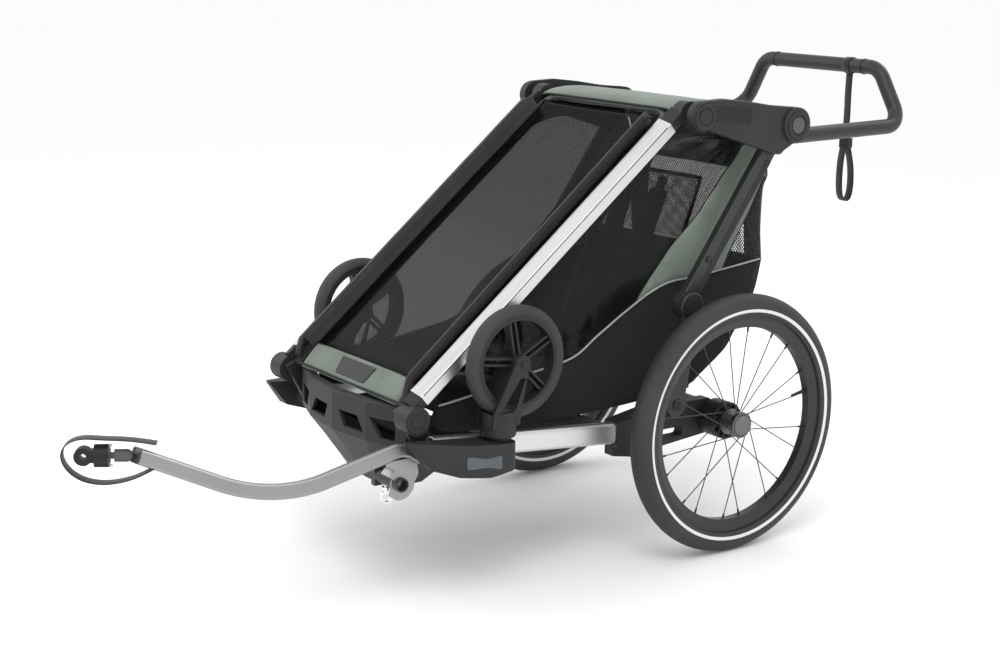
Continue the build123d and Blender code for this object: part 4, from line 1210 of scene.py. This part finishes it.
line = smooth_line([at(0, -290, 352), at(0, -268, 356), at(0, -245, 358)])
crumples(ribbon("crotch_strap", line, ACROSS, 0.030, 0.0022, WEBBING))

# ------ hard details

PILLAR_FOOT, PILLAR_HEAD = Vector((-674, 342)), Vector((-72, 830))
pillar_run = (PILLAR_HEAD - PILLAR_FOOT).normalized()
pillar_up = Vector((-pillar_run.y, pillar_run.x))


def on_pillar(x, along, raised):
    """A place beside a pillar, measured from its foot's pivot."""
    place = PILLAR_FOOT + pillar_run * along + pillar_up * raised
    return at(x, place.x, place.y)


def turned(name, profile, centre, sign, material, body, steps=48):
    """A turned cap on an axis across the trailer that moves with a body: profile is a list of
    (x, radius) in mm."""
    verts, faces = [], []
    count = len(profile)
    for step in range(steps):
        angle = 2 * math.pi * step / steps
        for x, radius in profile:
            y, z = centre[0] + radius * math.cos(angle), centre[1] + radius * math.sin(angle)
            verts.append(at(sign * x, y, z))
    for step in range(steps):
        for k in range(count):
            a, b = step * count + k, step * count + (k + 1) % count
            c, d = (a + count) % len(verts), (b + count) % len(verts)
            faces.append((a, b, d, c))
    piece = new_object(name, verts, faces, material)
    face_outward(piece)
    piece.data.shade_smooth()
    apply_modifier(piece, "BEVEL", width=0.0006, segments=2, limit_method="ANGLE")
    rides(body, piece)


def ring_profile(face, depth, outer, inner):
    """Section of a raised ring on a face across the trailer."""
    return [(face, inner), (face + depth, inner + 0.4), (face + depth, outer - 0.8), (face, outer)]


def boss_profile(face, depth, radius):
    """Section of a round boss with a small dimple."""
    top = face + depth
    return [
        (face - 1, 0.2), (face - 1, radius), (top - 0.6, radius), (top, radius - 0.8),
        (top, 0.3 * radius), (top - 0.9, 0.25 * radius), (top - 0.9, 0.2),
    ]


HANDLE_PIVOT, STRUT_FOOT, CASTER_AXIS, HUB = (162, 803), (-112, 294), (-487, 427), (0, 250)
ARM_X, STRUT_X, GROOVE_X, WING_X = 265, 247, 228.3, 297.2
STRUT_TOP, STRUT_MIDDLE = Vector((122, 765)), Vector((-82, 478))
strut_run = (STRUT_TOP - STRUT_MIDDLE).normalized()
strut_side = Vector((strut_run.y, -strut_run.x))

for side, sign in SIDES:
    def lift_arm(y, z, height, sign=sign):
        """A place on the arm's outer face."""
        return at(sign * (ARM_X + height), y, z)

    def lift_strut(along, across, height, sign=sign):
        """A place on the upper strut's outer face."""
        place = STRUT_MIDDLE + strut_run * along + strut_side * across
        return at(sign * (STRUT_X + height), place.x, place.y)

    def lift_wing(y, z, height, sign=sign):
        """A place on the wing's outer wall, which bows out."""
        return at(sign * (WING_X - ((y + 562) / 19.2) ** 2 + height), y, z)

    groove_line = [on_pillar(sign * GROOVE_X, along, 19.0) for along in range(40, 728, 40)]
    rides("pillars", seam(f"pillar_groove_{side}", groove_line, 0.0011))
    plate(
        f"arm_patch_{side}", rounded_outline([(-52, 849), (49, 842), (44, 810), (-42, 820)], 4),
        lift_arm, 0.9, PATCH, "arms", 0.0006, MOULDED,
    )
    for name, profile, centre, body, material in (
        ("pivot_ring", ring_profile(269, 1.6, 24, 17.5), PILLAR_HEAD, "arms", FITTING),
        ("pivot_cap", boss_profile(269, 1.8, 14.5), PILLAR_HEAD, "arms", MOULDED),
        ("handle_ring", ring_profile(272, 1.8, 27, 19), HANDLE_PIVOT, "arms", FITTING),
        ("foot_ring", ring_profile(241, 1.4, 22, 16), PILLAR_FOOT, "pillars", FITTING),
        ("foot_cap", boss_profile(241, 1.6, 12), PILLAR_FOOT, "pillars", MOULDED),
        ("strut_foot_cap", boss_profile(265, 2.2, 11), STRUT_FOOT, "lower_struts", MOULDED),
        ("caster_bolt", boss_profile(289, 1.6, 4.6), CASTER_AXIS, f"caster_fork_{side}", MOULDED),
        ("hub_face_ring", ring_profile(323, 1.5, 24, 20.6), HUB, f"wheel_{side}", HUB_GREY),
    ):
        turned(f"{name}_{side}", profile, centre, sign, material, body)
    plate(
        f"strut_inlay_{side}", rounded_outline([(30, 3), (325, 3), (325, 15.5), (30, 15.5)], 3),
        lift_strut, 0.7, slot_material["brake_ring"], "upper_struts",
    )
    snap_profile = boss_profile(STRUT_X, 3.2, 6.5)
    turned(f"strut_snap_{side}", snap_profile, (-31, 560), sign, MOULDED, "upper_struts", 32)
    plate(
        f"wing_reflector_{side}",
        rounded_outline([(-607, 281), (-537, 274), (-537, 250), (-607, 259)], 3), lift_wing, 1.2,
        REFLECTOR, "base",
    )

turned(
    "receiver_cap", boss_profile(215, 2.5, 13), (-700, 232), 1, slot_material["hitch_alloy"], "base",
)

BAR_Y, BAR_Z = 493, 893


def around_bar(x, radius, angles):
    """Places around the handlebar's crossbar."""
    return [at(x, BAR_Y + radius * math.cos(a), BAR_Z + radius * math.sin(a)) for a in angles]


turn_angles = [2 * math.pi * k / 40 for k in range(40)]
for side, sign in SIDES:
    ring_line = around_bar(sign * 126, 15.3, turn_angles)
    rides("handlebar", seam(f"grip_ring_{side}", ring_line, 0.0011, cyclic=True))
wrap_line = around_bar(STRAP_X, 16.2, [math.radians(-90 + 360 * k / 47) for k in range(47)])
wrap = ribbon("wrist_wrap", wrap_line, ACROSS, WRIST_WIDTH, 0.0018, WEBBING)
rides("handlebar", wrap)
